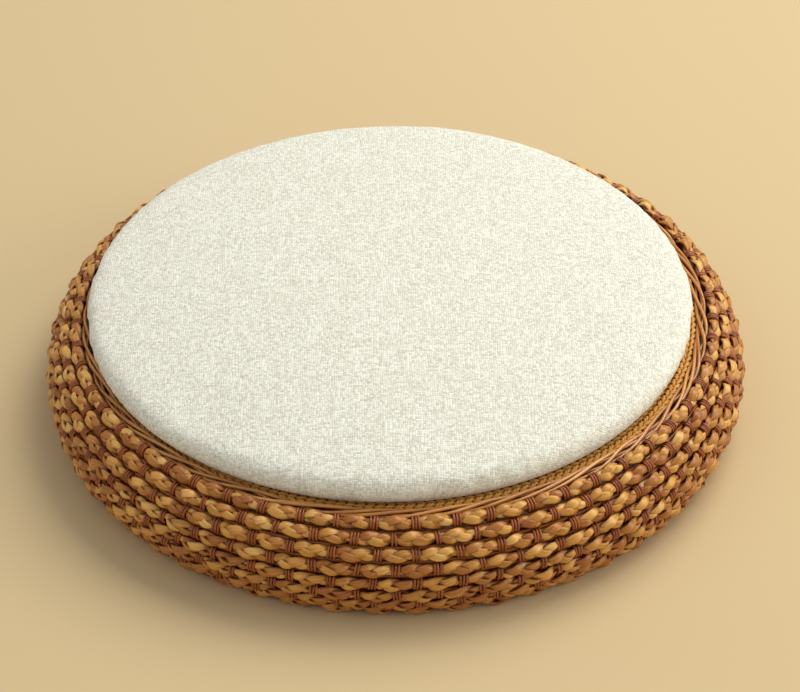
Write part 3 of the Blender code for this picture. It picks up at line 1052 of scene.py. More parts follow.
        def placing(along: np.ndarray, around: np.ndarray) -> dict:
            """Wraps the grid round the seam."""
            angle, spin = along * math.tau, around * math.tau
            out = radius + self.seam_cord_radius * np.cos(spin) + stray(along) * 0.2 * MM
            co = polar(out, angle, height + self.seam_cord_radius * np.sin(spin))
            return {"co": co, "uv": np.stack([along * math.tau * radius, around * 7.0 * MM], axis=1),
                    "tone": np.full_like(along, 1.0)}

        return rolled_grid("seam_cord", self.ties * 4, self.tie_sides, placing)

    def tie_loop(self, row: int, bearing: float, lean: float) -> bpy.types.Mesh:
        """One turn of peel round a plait.

        Args:
            row: The row, counted from the foot.
            bearing: Where it stands.
            lean: How far its top stands along from its foot.

        Returns:
            Its mesh.
        """
        place = ROWS[row]
        tall = self.sway * 0.58 + self.strand_width * 0.66 + self.tie_width * 0.75
        deep = self.dive * 0.70 + self.strand_thickness * 0.90 + self.tie_width * 0.85
        tone = self.rng.uniform(0.0, 1.0)

        def placing(along: np.ndarray, around: np.ndarray) -> dict:
            """Wraps the grid round the loop."""
            turn, spin = along * math.tau, around * math.tau
            grow = self.tie_width * np.cos(spin)
            up = (tall + grow) * np.sin(turn)
            out = (deep + grow) * np.cos(turn) - self.pinch_depth * 0.8
            across = self.tie_width * 0.95 * np.sin(spin) + lean * np.sin(turn)
            co = place.spot(bearing + across / place.radius, up, out)
            # Painted shade on the part of the loop that runs behind the plait.
            painted_shade_behind = np.clip(0.55 - np.cos(turn), 0.0, 1.0)
            return {"co": co, "uv": np.stack([along * 36.0 * MM + tone, around * 6.0 * MM], axis=1),
                    "tone": np.full_like(along, tone), "depth": painted_shade_behind}

        return rolled_grid("tie", self.tie_steps, self.tie_sides, placing)

    def build(self) -> None:
        """Builds every row and its ties."""
        plait = PlaitFinish().material()
        peel = CaneFinish("rattan_peel", dark=(0.180, 0.0280, 0.0030), light=(0.470, 0.135, 0.026), roughness=0.32,
                          coat=0.14).material()
        for row in range(len(ROWS)):
            strands = merged([self.strand(row, number) for number in range(self.strands)])
            piece = linked(f"plaited_row_{row + 1}", strands, plait)
            place_piece(piece, "base", [f"plait_row_{row + 1}"])
            ties = linked(f"row_ties_{row + 1}", self.row_ties(row), peel)
            behind = [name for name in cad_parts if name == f"lashing_{row + 1}"]
            place_piece(ties, "base", behind)


@dataclass
class RimRope:
    """Long cane strands loosely twisted round the rim."""

    strands: int = 4
    turns: int = 13
    strand_radius: float = 1.12 * MM
    lay_across: float = 2.85 * MM
    lay_up: float = 1.35 * MM
    lay_out: float = 0.9 * MM
    phases: Sequence[float] = (0.0, 0.21, 0.50, 0.73)
    stations: int = 420
    sides: int = 9
    rng: np.random.Generator = field(default_factory=lambda: np.random.default_rng(SEED + 1))

    def strand(self, number: int) -> bpy.types.Mesh:
        """One strand of the rope.

        Args:
            number: The strand, from 0.

        Returns:
            Its mesh, a closed tube.
        """
        radius, height, _ = packed_ring("rim_rope")
        stray = periodic_noise(self.rng, 26)
        rise = periodic_noise(self.rng, 30)
        phase = self.phases[number]
        tone = self.rng.uniform(0.0, 1.0)

        def middle(angle: np.ndarray) -> np.ndarray:
            """The strand's centreline."""
            share = angle / math.tau
            turn = math.tau * (self.turns * share + phase) + stray(share) * 0.55
            out = self.lay_out + self.lay_across * np.cos(turn) + stray(share + 0.3) * 0.35 * MM
            up = self.lay_up * np.sin(turn) + rise(share) * 0.3 * MM + 0.25 * MM
            return polar(radius + out, angle, height + up)

        def placing(along: np.ndarray, around: np.ndarray) -> dict:
            """Wraps the grid round the centreline."""
            angle, spin = along * math.tau, around * math.tau
            run = run_along(middle, angle, self.stations)
            side = unit(np.cross(run, np.array([0.0, 0.0, 1.0])))
            up_way = np.cross(side, run)
            thick = self.strand_radius * (1.0 + 0.06 * rise(along * 3.0))
            co = middle(angle) + side * (thick * np.cos(spin))[:, None] + up_way * (thick * np.sin(spin))[:, None]
            turn = math.tau * (self.turns * along + phase)
            # Painted shade where a strand passes under the others and on its underside.
            depth = np.clip(0.35 - 0.5 * np.sin(turn), 0.0, 1.0) * 0.5 + np.clip(-np.sin(spin), 0.0, 1.0) * 0.5
            return {"co": co, "uv": np.stack([along * 1.21, around * 8.0 * MM + number], axis=1),
                    "tone": np.full_like(along, tone), "depth": depth}

        return rolled_grid(f"rim_strand_{number + 1}", self.stations, self.sides, placing)

    def build(self) -> None:
        """Builds the rope."""
        core = CaneFinish("rattan_core", dark=(0.340, 0.090, 0.012), light=(0.900, 0.430, 0.100), roughness=0.26,
                          coat=0.45).material()
        rope = merged([self.strand(number) for number in range(self.strands)])
        place_piece(linked("twisted_rim_rope", rope, core), "base", ["rim_rope"])


@dataclass
class StrawDeck:
    """Rounds of twisted straw cord: real two-ply cord at the edge, grooved rounds further in."""

    cord: float = 3.4 * MM
    edge_cords: int = 6
    stitch: float = 2.9 * MM
    ply_radius: float = 1.12 * MM
    ply_offset: float = 0.78 * MM
    sides: int = 6
    steps_per_turn: int = 7
    groove: float = 1.0 * MM
    segments: int = 160
    rng: np.random.Generator = field(default_factory=lambda: np.random.default_rng(SEED + 2))

    def __post_init__(self) -> None:
        """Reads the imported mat: its edge, the flat inside its climbing band, and its thickness."""
        low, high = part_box("deck_mat")
        corners = [v.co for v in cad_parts["deck_mat"].data.vertices]
        inner = [c for c in corners if math.hypot(c.x, c.y) < high.x - 1.0 * MM]
        self.edge, self.edge_height = high.x, high.z
        self.flat_reach = max(math.hypot(c.x, c.y) for c in inner)
        self.flat = max(c.z for c in inner)
        self.thick = self.flat - low.z

    def surface(self, radius: float) -> float:
        """Height of the mat's top at a radius."""
        share = min(1.0, max(0.0, (radius - self.flat_reach) / (self.edge - self.flat_reach)))
        return self.flat + (self.edge_height - self.flat) * share

    def cord_round(self, number: int, ply: int) -> bpy.types.Mesh:
        """One ply of one round of cord at the edge.

        Args:
            number: The round, counted in from the edge.
            ply: 0 or 1.

        Returns:
            Its mesh, a closed tube.
        """
        radius = self.edge - (number + 0.5) * self.cord + 0.3 * MM
        height = self.surface(radius) - self.ply_radius + 0.15 * MM
        turns = round(math.tau * radius / (self.stitch * 2))
        hand = 1 if number % 2 else -1
        start = self.rng.uniform(0.0, 1.0)

        def placing(along: np.ndarray, around: np.ndarray) -> dict:
            """Wraps the grid round the ply's own turns."""
            angle, spin = along * math.tau, around * math.tau
            turn = hand * turns * angle + math.pi * ply + start * math.tau
            out = self.ply_offset * np.cos(turn) + self.ply_radius * 1.05 * np.cos(spin)
            up = self.ply_offset * 0.8 * np.sin(turn) + self.ply_radius * np.sin(spin)
            co = polar(radius + out, angle, height + up)
            # Painted shade where a ply lies low in the twist and on its underside.
            depth = np.clip(0.45 - 0.55 * np.sin(turn) - 0.45 * np.sin(spin), 0.0, 1.0)
            return {"co": co, "uv": np.stack([along * math.tau * radius, around * 7.0 * MM + ply], axis=1),
                    "depth": depth}

        return rolled_grid(f"cord_{number}_{ply}", turns * self.steps_per_turn, self.sides, placing)

    def inner_deck(self) -> bpy.types.Mesh:
        """The mat inside the edge cords: a disc whose top is grooved round by round.

        Returns:
            Its mesh.
        """
        edge, edge_height, flat, thick = self.edge, self.edge_height, self.flat, self.thick
        reach = edge - self.edge_cords * self.cord
        rounds = int(reach / self.cord)
        outline = [(0.0, flat - 0.4 * MM)]
        for number in range(rounds):
            start = reach - (rounds - number) * self.cord
            for share, lift in ((0.0, -1.0), (0.22, -0.25), (0.5, 0.0), (0.78, -0.25)):
                radius = max(start + share * self.cord, 0.3 * MM)
                outline.append((radius, self.surface(radius) + lift * self.groove))
        outline += [(reach, self.surface(reach) - self.groove), (edge, edge_height - 1.9 * MM),
                    (edge, edge_height - thick), (edge - 9.0 * MM, flat - thick), (0.0, flat - thick)]
        bm = turned_shape(outline, self.segments)
        # Painted shade in the grooves: each point darkens by how far it sinks below the mat's top.
        shade = bm.verts.layers.float.new("depth")
        for vert in bm.verts:
            sunk = self.surface(math.hypot(vert.co.x, vert.co.y)) - vert.co.z
            vert[shade] = min(1.0, max(0.0, sunk / self.groove))

        def read(spot: Vector, middle: Vector) -> Point:
            """Reads the run along a round and the way in from the edge."""
            base = math.atan2(middle.y, middle.x)
            radius = math.hypot(spot.x, spot.y)
            bearing = math.atan2(spot.y, spot.x) if radius > CUT else base
            bearing += math.tau * round((base - bearing) / math.tau)
            return bearing * math.hypot(middle.x, middle.y), reach - radius

        lay_uv(bm, read)
        return settled_mesh("inner_deck", bm)

    def build(self) -> None:
        """Builds the deck's cords and its middle."""
        straw = StrawFinish().material()
        plies = [self.cord_round(number, ply) for number in range(self.edge_cords) for ply in (0, 1)]
        place_piece(linked("deck_edge_cords", merged(plies), straw), "base", ["deck_mat"])
        deck = linked("deck_straw_rounds", self.inner_deck(), StrawFinish(drawn_twist=True).material())
        place_piece(deck, "base")


@dataclass
class CaneFrame:
    """Bent cane poles: the hoops and the ribs behind the wall."""

    hoop_names: Sequence[str] = ("rim_hoop", "deck_hoop", "belly_hoop", "foot_hoop")
    knuckle_gap: float = 0.165
    knuckle_reach: float = 2.2 * MM
    rib_radius: float = 3.5 * MM
    rib_cuts: int = 40
    stations: int = 880
    sides: int = 14
    crease: float = math.radians(50)
    rng: np.random.Generator = field(default_factory=lambda: np.random.default_rng(SEED + 3))

    def knuckles(self, length: float) -> np.ndarray:
        """Shares of a pole's length where its knuckles stand."""
        count = max(1, round(length / self.knuckle_gap))
        return (np.arange(count) + 0.5 + self.rng.uniform(-0.2, 0.2, count)) / count

    def swelling(self, share: np.ndarray, knuckles: np.ndarray, length: float) -> np.ndarray:
        """How much each knuckle swells the pole there, from 0 to 1."""
        away = np.abs(share[:, None] - knuckles[None, :]) * length
        return np.exp(-(away / self.knuckle_reach) ** 2).max(axis=1)

    def hoop(self, name: str) -> bpy.types.Mesh:
        """One hoop.

        Args:
            name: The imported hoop.

        Returns:
            Its mesh.
        """
        radius, height, half = packed_ring(name)
        length = math.tau * radius
        marks = self.knuckles(length)

        def placing(along: np.ndarray, around: np.ndarray) -> dict:
            """Wraps the grid round the hoop's middle."""
            angle, spin = along * math.tau, around * math.tau
            swell = self.swelling(along, marks, length)
            thick = half * (0.97 + 0.05 * swell)
            co = polar(radius + thick * np.cos(spin), angle, height + thick * np.sin(spin))
            return {"co": co, "uv": np.stack([along * length, around * math.tau * half], axis=1),
                    "tone": np.full_like(along, 0.5), "knot": swell}

        return rolled_grid(f"cane_{name}", self.stations, self.sides, placing)

    def rib(self, name: str) -> bpy.types.Mesh:
        """One rib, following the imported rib's own run.

        Args:
            name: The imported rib.

        Returns:
            Its mesh, closed with caps.
        """
        corners = np.array([v.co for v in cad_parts[name].data.vertices])
        bearing = math.atan2(corners[:, 1].mean(), corners[:, 0].mean())
        thick = self.rib_radius
        slopes = np.array([row.slope for row in ROWS])
        inset = self.rib_inset(corners)
        line_r = np.array([row.radius for row in ROWS]) - inset * np.cos(slopes)
        line_z = np.array([row.height for row in ROWS]) - inset * np.sin(slopes)
        bm = bmesh.new()
        bmesh.ops.create_cone(bm, cap_ends=True, cap_tris=False, segments=self.sides, radius1=thick, radius2=thick,
                              depth=1.0)
        walls = [edge for edge in bm.edges if abs(edge.verts[0].co.z - edge.verts[1].co.z) > 0.5]
        bmesh.ops.subdivide_edges(bm, edges=walls, cuts=self.rib_cuts, use_grid_fill=True)
        knot = bm.verts.layers.float.new("knot")
        tone = bm.verts.layers.float.new("tone")
        reach = np.concatenate([[0.0], np.cumsum(np.hypot(np.diff(line_r), np.diff(line_z)))])
        marks = self.knuckles(reach[-1])
        lay_uv(bm, lambda co, _: ((co.z + 0.5) * reach[-1], math.atan2(co.y, co.x) * thick))
        for vert in bm.verts:
            share = vert.co.z + 0.5
            swell = float(self.swelling(np.array([share]), marks, reach[-1])[0])
            along = share * reach[-1]
            heart = (np.interp(along, reach, line_r), np.interp(along, reach, line_z))
            slope = np.interp(along, reach, slopes)
            out, side = vert.co.x * (0.96 + 0.06 * swell), vert.co.y * (0.96 + 0.06 * swell)
            radius, height = heart[0] + out * math.cos(slope), heart[1] + out * math.sin(slope)
            vert.co = Vector((radius * math.cos(bearing) - side * math.sin(bearing),
                              radius * math.sin(bearing) + side * math.cos(bearing), height))
            vert[knot] = swell
            vert[tone] = 0.5
        bmesh.ops.recalc_face_normals(bm, faces=bm.faces)
        return settled_mesh(f"cane_{name}", bm, crease=self.crease)

    def rib_inset(self, corners: np.ndarray) -> float:
        """How far the ribs' middles stand behind the rows' middles, read at the belly."""
        widest = max(ROWS, key=lambda row: row.radius)
        reach = np.hypot(corners[:, 0], corners[:, 1]).max()
        return widest.radius - (reach - self.rib_radius)

    def build(self) -> None:
        """Builds every hoop and rib."""
        pole = CaneFinish("rattan_pole", dark=(0.400, 0.215, 0.085), light=(0.680, 0.470, 0.250), roughness=0.42,
                          coat=0.10, grain=1100.0, knot_dark=0.9).material()
        ribs = sorted(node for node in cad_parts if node.startswith("rib_"))
        for name in [*self.hoop_names, *ribs]:
            mesh = self.rib(name) if name in ribs else self.hoop(name)
            place_piece(linked(f"cane_{name}", mesh, pole), "base", [name])


@dataclass
class DeckTimber:
    """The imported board, bars and screws, which keep their shape and get their finish."""

    edge: float = 0.4 * MM

    def build(self) -> None:
        """Dresses the board, the bars and the screws."""
        ply = TimberFinish("plywood", dark=(0.450, 0.285, 0.135), light=(0.700, 0.520, 0.310), rings=22.0,
                           lengthwise=(0.10, 1.0, 1.0)).material()
        batten = {"dark": (0.420, 0.250, 0.110), "light": (0.680, 0.480, 0.265)}
        along_x = TimberFinish("batten_wood_x", **batten).material()
        along_y = TimberFinish("batten_wood_y", **batten, lengthwise=(1.0, 0.06, 1.0)).material()
        steel = MetalFinish("screw_steel", bright=(0.60, 0.60, 0.61), dull=(0.33, 0.31, 0.28)).material()
        looks = {"deck_board": ply, "cross_bar_lower": along_x, "cross_bar_upper": along_y}
        looks.update({name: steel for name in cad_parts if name.startswith("deck_screw_")})
        for name, look in looks.items():
            dress_node(name, look, self.edge)


# ---------------------------------------------------------------------------------------------------------- pad


@dataclass
class SeatPad:
    """The stuffed pad: a simulated linen top, a flat underside sewn in under its edge, and the filling."""

    start_inset: float = 2.6 * MM
    voxel: float = 4.6 * MM
    pressure: float = 4.0
    last_frame: int = 20
    most_swell: float = 2.6 * MM
    segments: int = 112
    waist_height: float = 12.5 * MM
    under_round: float = 18.0 * MM
    top_round: float = 8.0 * MM
    shoulder: float = 9.0 * MM
    channel: tuple[float, float] = (16.0 * MM, 3.2 * MM)
    slot: float = 6.0 * MM
    cloth: float = 0.9 * MM
    tuck: float = 0.6 * MM
    fill_gap: float = 3.4 * MM
    rng: np.random.Generator = field(default_factory=lambda: np.random.default_rng(SEED + 4))

    def __post_init__(self) -> None:
        """Reads the pad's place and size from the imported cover."""
        low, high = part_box("cover_top")
        under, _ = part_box("cover_bottom")
        self.middle_x = (low.x + high.x) / 2
        self.radius = (high.x - low.x) / 2
        self.base = under.z
        self.seam = low.z
        self.crown = high.z
        self.waist = self.base + self.waist_height

    def outline(self, inset: float) -> list[Point]:
        """The pad's section, underside middle to crown, `inset` inside its face.

        Args:
            inset: How far inside the cover's face.

        Returns:
            Corners as (radius, height).
        """
        points = [(0.0, self.base + inset)]
        ring = self.radius - self.under_round
        for step in range(9):
            turn = -math.pi / 2 + math.pi / 2 * step / 8
            points.append((ring + (self.under_round - inset) * math.cos(turn),
                           self.waist + (self.waist - self.base - inset) * math.sin(turn)))
        ring = self.radius - self.top_round
        for step in range(1, 6):
            turn = math.pi / 2 * step / 5
            points.append((ring + (self.top_round - inset) * math.cos(turn),
                           self.waist + (self.shoulder - inset) * math.sin(turn)))
        edge = points[-1]
        rise = self.crown - inset - edge[1]
        shares = (0.93, 0.8, 0.6, 0.4, 0.2, 0.0)
        return points + [(edge[0] * share, edge[1] + rise * (1 - share ** 2)) for share in shares]

    def shaped(self, mesh: bpy.types.Mesh, places: np.ndarray) -> None:
        """Moves a mesh's points to new places."""
        mesh.vertices.foreach_set("co", places.ravel())
        mesh.update()

    def start_mesh(self) -> bpy.types.Mesh:
        """The slack pad before it swells, remeshed evenly.

        Returns:
            Its mesh, about its own middle.
        """
        bm = turned_shape(self.outline(self.start_inset), self.segments)
        rough = bpy.data.objects.new("slack_pad", settled_mesh("slack_pad", bm, smooth=False))
        bpy.context.scene.collection.objects.link(rough)
        even = rough.modifiers.new("even", "REMESH")
        even.mode = "VOXEL"
        even.voxel_size = self.voxel
        bpy.context.view_layer.update()
        made = bpy.data.meshes.new_from_object(rough.evaluated_get(bpy.context.evaluated_depsgraph_get()))
        bpy.data.objects.remove(rough)
        return made

    def simulated(self, mesh: bpy.types.Mesh) -> bpy.types.Mesh:
        """The pad after its cloth has been blown up from inside.

        Args:
            mesh: The slack pad.

        Returns:
            The swollen pad.
        """
        before = mesh_points(mesh)
        full = before + mesh_points(mesh, "normal") * self.start_inset
        actor = bpy.data.objects.new("swelling_pad", mesh)
        bpy.context.scene.collection.objects.link(actor)
        cloth = actor.modifiers.new("cloth", "CLOTH")
        cloth.settings.quality = 6
        cloth.settings.mass = 0.3
        cloth.settings.tension_stiffness = 12.0
        cloth.settings.compression_stiffness = 12.0
        cloth.settings.bending_stiffness = 3.0
        cloth.settings.use_pressure = True
        cloth.settings.uniform_pressure_force = self.pressure
        cloth.settings.effector_weights.gravity = 0.0
        cloth.point_cache.frame_start = 1
        cloth.point_cache.frame_end = self.last_frame
        scene = bpy.context.scene
        for number in range(1, self.last_frame + 1):
            scene.frame_set(number)
        swollen = bpy.data.meshes.new_from_object(actor.evaluated_get(bpy.context.evaluated_depsgraph_get()))
        bpy.data.objects.remove(actor)
        scene.frame_set(1)
        self.shaped(swollen, full + self.eased(before, mesh_points(swollen) - before))
        return swollen

    def eased(self, before: np.ndarray, move: np.ndarray) -> np.ndarray:
        """Keeps the swelling's form, brings it down to a stuffed pad's size and keeps the sides from drawing in.

        Args:
            before: The slack pad's points.
            move: How far the simulation moves each, which is changed.

        Returns:
            How far each point moves.
        """
        away = before[:, :2] / np.maximum(np.linalg.norm(before[:, :2], axis=1, keepdims=True), MM)
        inward = np.minimum(np.sum(move[:, :2] * away, axis=1, keepdims=True), 0.0)
        move[:, :2] -= inward * away
        return move * (self.most_swell / np.linalg.norm(move, axis=1).max())

    def settle(self, co: np.ndarray) -> np.ndarray:
        """Lays the pad down, and gives it the slight unevenness of a sat-on pad.

        Args:
            co: The points, about the pad's own middle.

        Returns:
            The points in place.
        """
        x, y, z = co[:, 0], co[:, 1], co[:, 2]
        radius = np.hypot(x, y)
        bearing = np.arctan2(y, x)
        swell_a, swell_b = periodic_noise(self.rng, 9), periodic_noise(self.rng, 23)
        share = bearing / math.tau
        rim = np.clip((radius / self.radius - 0.72) / 0.28, 0.0, 1.0) ** 2
        top = np.clip((z - self.waist) / (self.shoulder), 0.0, 1.0)
        drop = (swell_a(share) * 0.7 + swell_b(share) * 0.25) * MM * rim
        dent = np.exp(-(((x + 0.118) / 0.026) ** 2 + ((y + 0.128) / 0.020) ** 2))
        z = z + drop * top - dent * 1.4 * MM * top
        wide = 1.0 + (swell_b(share + 0.4) * 0.35 * MM + swell_a(share + 0.2) * 0.5 * MM) * rim / self.radius
        z = np.maximum(z, self.base + 0.05 * MM)
        return np.stack([x * wide + self.middle_x, y * wide, z], axis=1)

    def cloth_map(self, mesh: bpy.types.Mesh) -> None:
        """Lays the cloth's threads over a mesh: straight across the top and down the side.

        Args:
            mesh: The mesh, in place.
        """
        co = mesh_points(mesh)
        x, y = co[:, 0] - self.middle_x, co[:, 1]
        radius = np.hypot(x, y)
        edge = self.radius - self.top_round
        edge_height = self.waist + self.shoulder
        drape = np.clip(edge_height - co[:, 2], 0.0, None) * np.clip((radius - edge * 0.8) / (edge * 0.2), 0.0, 1.0)
        length = np.minimum(radius, edge) + drape + np.clip(radius - edge, 0.0, None) * 0.45
        away = np.maximum(radius, 1e-6)
        laid = np.stack([x / away * length, y / away * length], axis=1)
        layer = mesh.uv_layers.new(name="UVMap")
        layer.data.foreach_set("uv", laid[corner_points(mesh)].ravel())

    def sewn(self, name: str, mesh: bpy.types.Mesh, finish: WeaveFinish, thick: float) -> bpy.types.Object:
        """Makes a panel of cloth with a real thickness, which lies inside its outer face.

        Args:
            name: The piece's name.
            mesh: The outer face, in place.
            finish: Its cloth.
            thick: The cloth's thickness.

        Returns:
            The piece.
        """
        self.cloth_map(mesh)
        piece = linked(name, mesh, finish.material())
        wall = piece.modifiers.new("cloth", "SOLIDIFY")
        wall.thickness = thick
        wall.offset = -1.0
        return piece

    def top_cover(self) -> bpy.types.Object:
        """The linen over the dome and the side, cut off at the seam.

        Returns:
            The piece.
        """
        mesh = self.simulated(self.start_mesh())
        bm = bmesh.new()
        bm.from_mesh(mesh)
        for _ in range(2):
            bmesh.ops.smooth_vert(bm, verts=bm.verts, factor=0.5, use_axis_x=True, use_axis_y=True, use_axis_z=True)
        sliced(bm, (0, 0, self.seam), (0, 0, 1), clear=True)
        mesh = settled_mesh("linen_cover", bm)
        self.shaped(mesh, self.settle(mesh_points(mesh)))
        linen = WeaveFinish("linen", light=(0.930, 0.915, 0.780), shade=(0.620, 0.585, 0.450),
                            fleck=(0.400, 0.355, 0.250))
        piece = self.sewn("linen_cover", mesh, linen, self.cloth)
        finer = piece.modifiers.new("finer", "SUBSURF")
        finer.levels = 1
        finer.render_levels = 1
        piece.modifiers.move(1, 0)
        return piece

    def underside(self) -> bpy.types.Object:
        """The cotton underside, pressed in along the zip and slit between its tapes.

        Returns:
            The piece.
        """
        tape_low, tape_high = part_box("zip_tape_front")
        back_low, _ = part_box("zip_tape_back")
        line = (tape_high.y + back_low.y) / 2
        reach = (tape_high.x - tape_low.x) / 2
        wide, deep = self.channel[0] / 2, self.channel[1]
        bm = turned_shape(self.under_section(), self.segments)
        for offset in (wide + 1.5 * MM, wide, wide - 1.2 * MM, self.slot):
            for side in (-1, 1):
                sliced(bm, (0, line + side * offset, 0), (0, 1, 0))
        for offset in (reach + 4.5 * MM, reach + 3.0 * MM, reach):
            for side in (-1, 1):
                sliced(bm, (side * offset, 0, 0), (1, 0, 0))
        middles = [(face, face.calc_center_median()) for face in bm.faces]
        open_slot = [face for face, spot in middles if abs(spot.y - line) < self.slot and abs(spot.x) < reach]
        bmesh.ops.delete(bm, geom=open_slot, context="FACES")
        for vert in bm.verts:
            beside = abs(vert.co.y - line)
            beyond = abs(vert.co.x) - reach
            press = min(1.0, max(0.0, (wide + 1.5 * MM - beside) / (2.7 * MM)))
            press *= min(1.0, max(0.0, (4.5 * MM - beyond) / (4.5 * MM)))
            vert.co.z += deep * press * press * (3 - 2 * press)
            vert.co.x += self.middle_x
        cotton = WeaveFinish("underside_cotton", light=(0.760, 0.720, 0.610), shade=(0.520, 0.480, 0.380),
                             fleck=(0.420, 0.370, 0.280), thread=1.1 * MM, relief=0.3 * MM, unevenness=0.2,
                             fleck_share=0.3)
        return self.sewn("cotton_underside", settled_mesh("cotton_underside", bm), cotton, self.cloth * 0.8)

    def under_section(self) -> list[Point]:
        """The underside's section, middle to seam, tucked in under the linen's edge.

        Returns:
            Corners as (radius, height).
        """
        points = self.outline(0.0)
        section = [p for p in points if p[1] <= self.seam + CUT]
        last, following = section[-1], points[len(section)]
        share = (self.seam - last[1]) / (following[1] - last[1])
        section.append((last[0] + (following[0] - last[0]) * share, self.seam))
        tall = self.seam - self.base
        section = [(radius - self.tuck * (height - self.base) / tall, height) for radius, height in section]
        flat = section[1][0]
        return [(0.0, self.base)] + [(flat * k / 12, self.base) for k in range(1, 12)] + section[1:]

    def filling(self) -> None:
        """The foam and the wadding, a little inside the cover."""
        foam_low, foam_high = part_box("foam_core")
        gap = self.fill_gap
        reach, top, bottom = foam_high.x - self.middle_x, foam_high.z - 0.5 * MM, foam_low.z + 5.0 * MM
        section = [p for p in self.outline(gap) if p[1] < top and p[0] <= reach]
        side = min(reach, section[-1][0]) - gap
        section = [(0.0, bottom), *[(min(r, side), max(z, bottom)) for r, z in section[2:]], (side, top), (0.0, top)]
        foam = self.turned_piece("foam_disc", section,
                                 SoftFillFinish("foam", light=(0.86, 0.80, 0.58), dark=(0.62, 0.55, 0.36)))
        place_piece(foam, "seat_pad", ["foam_core"])
        over = [p for p in self.outline(gap) if p[1] > foam_high.z + 0.3 * MM]
        layer = [(0.0, foam_high.z), (over[0][0], foam_high.z), *over]
        wadding = self.turned_piece("wadding_layer", layer, SoftFillFinish(
            "wadding", light=(0.90, 0.90, 0.89), dark=(0.72, 0.72, 0.71), grain=500.0))
        place_piece(wadding, "seat_pad", ["wadding"])

    def turned_piece(self, name: str, section: Sequence[Point], look: SoftFillFinish) -> bpy.types.Object:
        """A turned solid about the pad's middle."""
        bm = turned_shape(section, 72)
        bmesh.ops.translate(bm, vec=(self.middle_x, 0, 0), verts=bm.verts)
        return linked(name, settled_mesh(name, bm, crease=math.radians(40)), look.material())

    def build(self) -> None:
        """Builds the pad: its cover, its underside and its filling."""
        cover = place_piece(self.top_cover(), "seat_pad", ["cover_top"])
        under = place_piece(self.underside(), "seat_pad", ["cover_bottom"])
        self.filling()


@dataclass
class PadZip:
    """The zip's tapes, its coil of teeth and its slider."""

    tooth_pitch: float = 1.5 * MM
    tooth: tuple[float, float, float] = (0.75 * MM, 1.1 * MM, 0.7 * MM)
    tape_end: float = 2.0 * MM
    tooth_reach: float = 0.23 * MM
    tape_edge: float = 0.15 * MM
    slider_edge: float = 0.25 * MM

    def teeth(self) -> bpy.types.Object:
        """The teeth along both tapes, which leave a fine line between them.

        Returns:
            The piece.
        """
        low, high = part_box("zip_tape_front")
        back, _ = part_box("zip_tape_back")
        count = int((high.x - low.x - 2 * self.tape_end) / self.tooth_pitch)
        bm = bmesh.new()
        level = (low.z + high.z) / 2
        for number in range(count):
            for line, side in ((high.y, -1.0), (back.y, 1.0)):
                made = bmesh.ops.create_cube(bm, size=1.0)["verts"]
                bmesh.ops.scale(bm, vec=self.tooth, verts=made)
                x = low.x + self.tape_end + (number + (0.5 if side > 0 else 0.0)) * self.tooth_pitch
                bmesh.ops.translate(bm, vec=(x, line + side * self.tooth_reach, level), verts=made)
        brass = MetalFinish("zip_teeth", bright=(0.66, 0.58, 0.42), dull=(0.40, 0.33, 0.22)).material()
        return linked("zip_teeth", settled_mesh("zip_teeth", bm, smooth=False), brass)

    def tape(self, name: str, cloth: bpy.types.Material) -> bpy.types.Object:
        """One tape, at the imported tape's place.

        Args:
            name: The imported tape.
            cloth: Its cloth.

        Returns:
            The piece.
        """
        low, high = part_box(name)
        bm = bmesh.new()
        bmesh.ops.create_cube(bm, size=1.0)
        bmesh.ops.scale(bm, vec=high - low, verts=bm.verts)
        bmesh.ops.translate(bm, vec=(low + high) / 2, verts=bm.verts)
        lay_uv(bm, lambda co, _: (co.x, co.y))
        rim = [edge for edge in bm.edges if edge.calc_face_angle() > 1.0]
        bmesh.ops.bevel(bm, geom=rim, offset=self.tape_edge, affect="EDGES", segments=2, profile=0.5, material=-1)
        return linked(f"woven_{name}", settled_mesh(f"woven_{name}", bm, smooth=False), cloth)

    def build(self) -> None:
        """Dresses the tapes and the slider and builds the teeth."""
        weave = WeaveFinish("zip_tape", light=(0.640, 0.600, 0.490), shade=(0.420, 0.380, 0.290),
                            fleck=(0.350, 0.310, 0.230), thread=0.6 * MM, relief=0.15 * MM, unevenness=0.1,
                            fleck_share=0.3).material()
        place_piece(self.teeth(), "seat_pad")
        for name in ("zip_tape_front", "zip_tape_back"):
            place_piece(self.tape(name, weave), "seat_pad", [name])
        brass = MetalFinish("zip_metal", bright=(0.62, 0.53, 0.36), dull=(0.34, 0.27, 0.17)).material()
        dress_node("zip_slider", brass, self.slider_edge)


# ------------------------------------------------------------------------------------------------------- studio


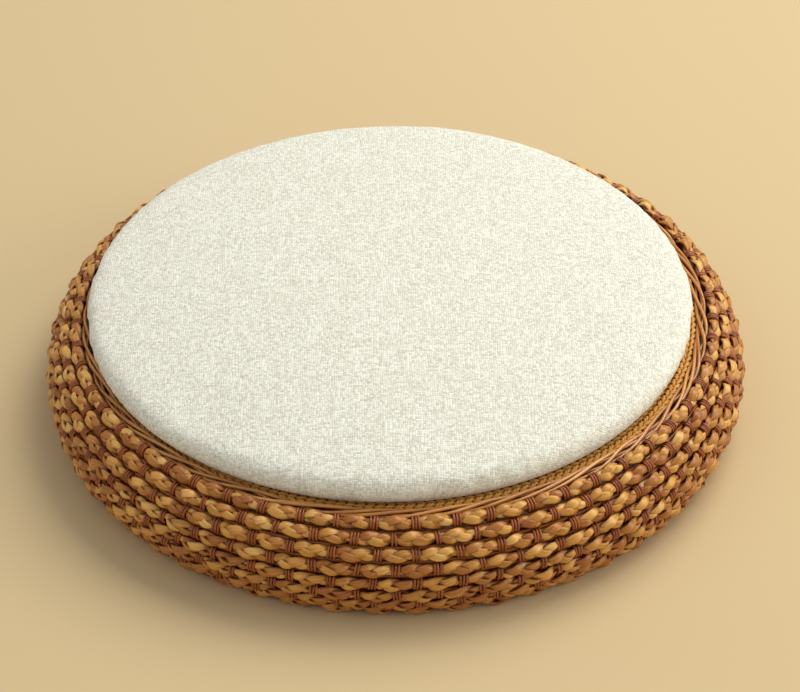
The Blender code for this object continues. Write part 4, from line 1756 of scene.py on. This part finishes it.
@dataclass
class Studio:
    """Plain pale floor, soft light and the camera."""

    floor_colour: Colour = (0.665, 0.505, 0.275)
    elevation: float = 38.0
    distance: float = 1.584
    lens: float = 110.25
    roll: float = -0.43
    aim: tuple[float, float, float] = (0.0030, 0.0, 0.0322)

    def floor(self) -> None:
        """A wide round floor."""
        bm = bmesh.new()
        bmesh.ops.create_circle(bm, cap_ends=True, segments=96, radius=7.0)
        look = FinishTree("studio_floor").finished({"Base Color": self.floor_colour, "Roughness": 0.9,
                                                    "Specular IOR Level": 0.2})
        linked("studio_floor", settled_mesh("studio_floor", bm, smooth=False), look)

    def lamp(self, name: str, place: tuple[float, float, float], size: float, power: float, colour: Colour) -> None:
        """A square soft light aimed at the seat.

        Args:
            name: Its name.
            place: Where it hangs.
            size: Its side.
            power: Its watts.
            colour: Its colour.
        """
        data = bpy.data.lights.new(name, "AREA")
        data.size = size
        data.energy = power
        data.color = colour
        made = bpy.data.objects.new(name, data)
        bpy.context.scene.collection.objects.link(made)
        made.location = place
        made.rotation_euler = (Vector(self.aim) - Vector(place)).to_track_quat("-Z", "Y").to_euler()

    def sky(self) -> None:
        """Even pale light from all round."""
        world = bpy.data.worlds.new("studio_air")
        world.use_nodes = True
        back = world.node_tree.nodes["Background"]
        back.inputs["Color"].default_value = (0.93, 0.95, 1.0, 1.0)
        back.inputs["Strength"].default_value = 0.50
        bpy.context.scene.world = world
        bpy.context.scene.view_settings.view_transform = "Standard"

    def camera(self) -> None:
        """The camera, looking down along +Y."""
        data = bpy.data.cameras.new("studio_camera")
        data.lens = self.lens
        data.sensor_width = 36.0
        data.clip_end = 50.0
        made = bpy.data.objects.new("studio_camera", data)
        bpy.context.scene.collection.objects.link(made)
        tilt = math.radians(self.elevation)
        back = Vector((0.0, -math.cos(tilt), math.sin(tilt)))
        made.location = Vector(self.aim) + back * self.distance
        made.rotation_mode = "QUATERNION"
        sight = (-back).to_track_quat("-Z", "Y")
        made.rotation_quaternion = sight @ Quaternion((0.0, 0.0, 1.0), math.radians(self.roll))
        bpy.context.scene.camera = made

    def build(self) -> None:
        """Sets up the studio."""
        self.floor()
        self.sky()
        self.lamp("window", (1.2, 1.2, 2.4), 2.0, 59.0, (1.0, 0.985, 0.95))
        self.lamp("side_window", (2.4, -0.2, 1.0), 1.6, 24.0, (1.0, 0.97, 0.92))
        self.lamp("bounce", (-1.8, -1.2, 1.6), 2.4, 5.0, (1.0, 0.97, 0.92))
        self.camera()


def main() -> None:
    """Builds every sub-assembly and the studio."""
    logging.basicConfig(level=logging.INFO, format="%(name)s: %(message)s")
    PlaitedWall().build()
    RimRope().build()
    StrawDeck().build()
    CaneFrame().build()
    DeckTimber().build()
    SeatPad().build()
    PadZip().build()
    Studio().build()


if __name__ == "__main__":
    main()
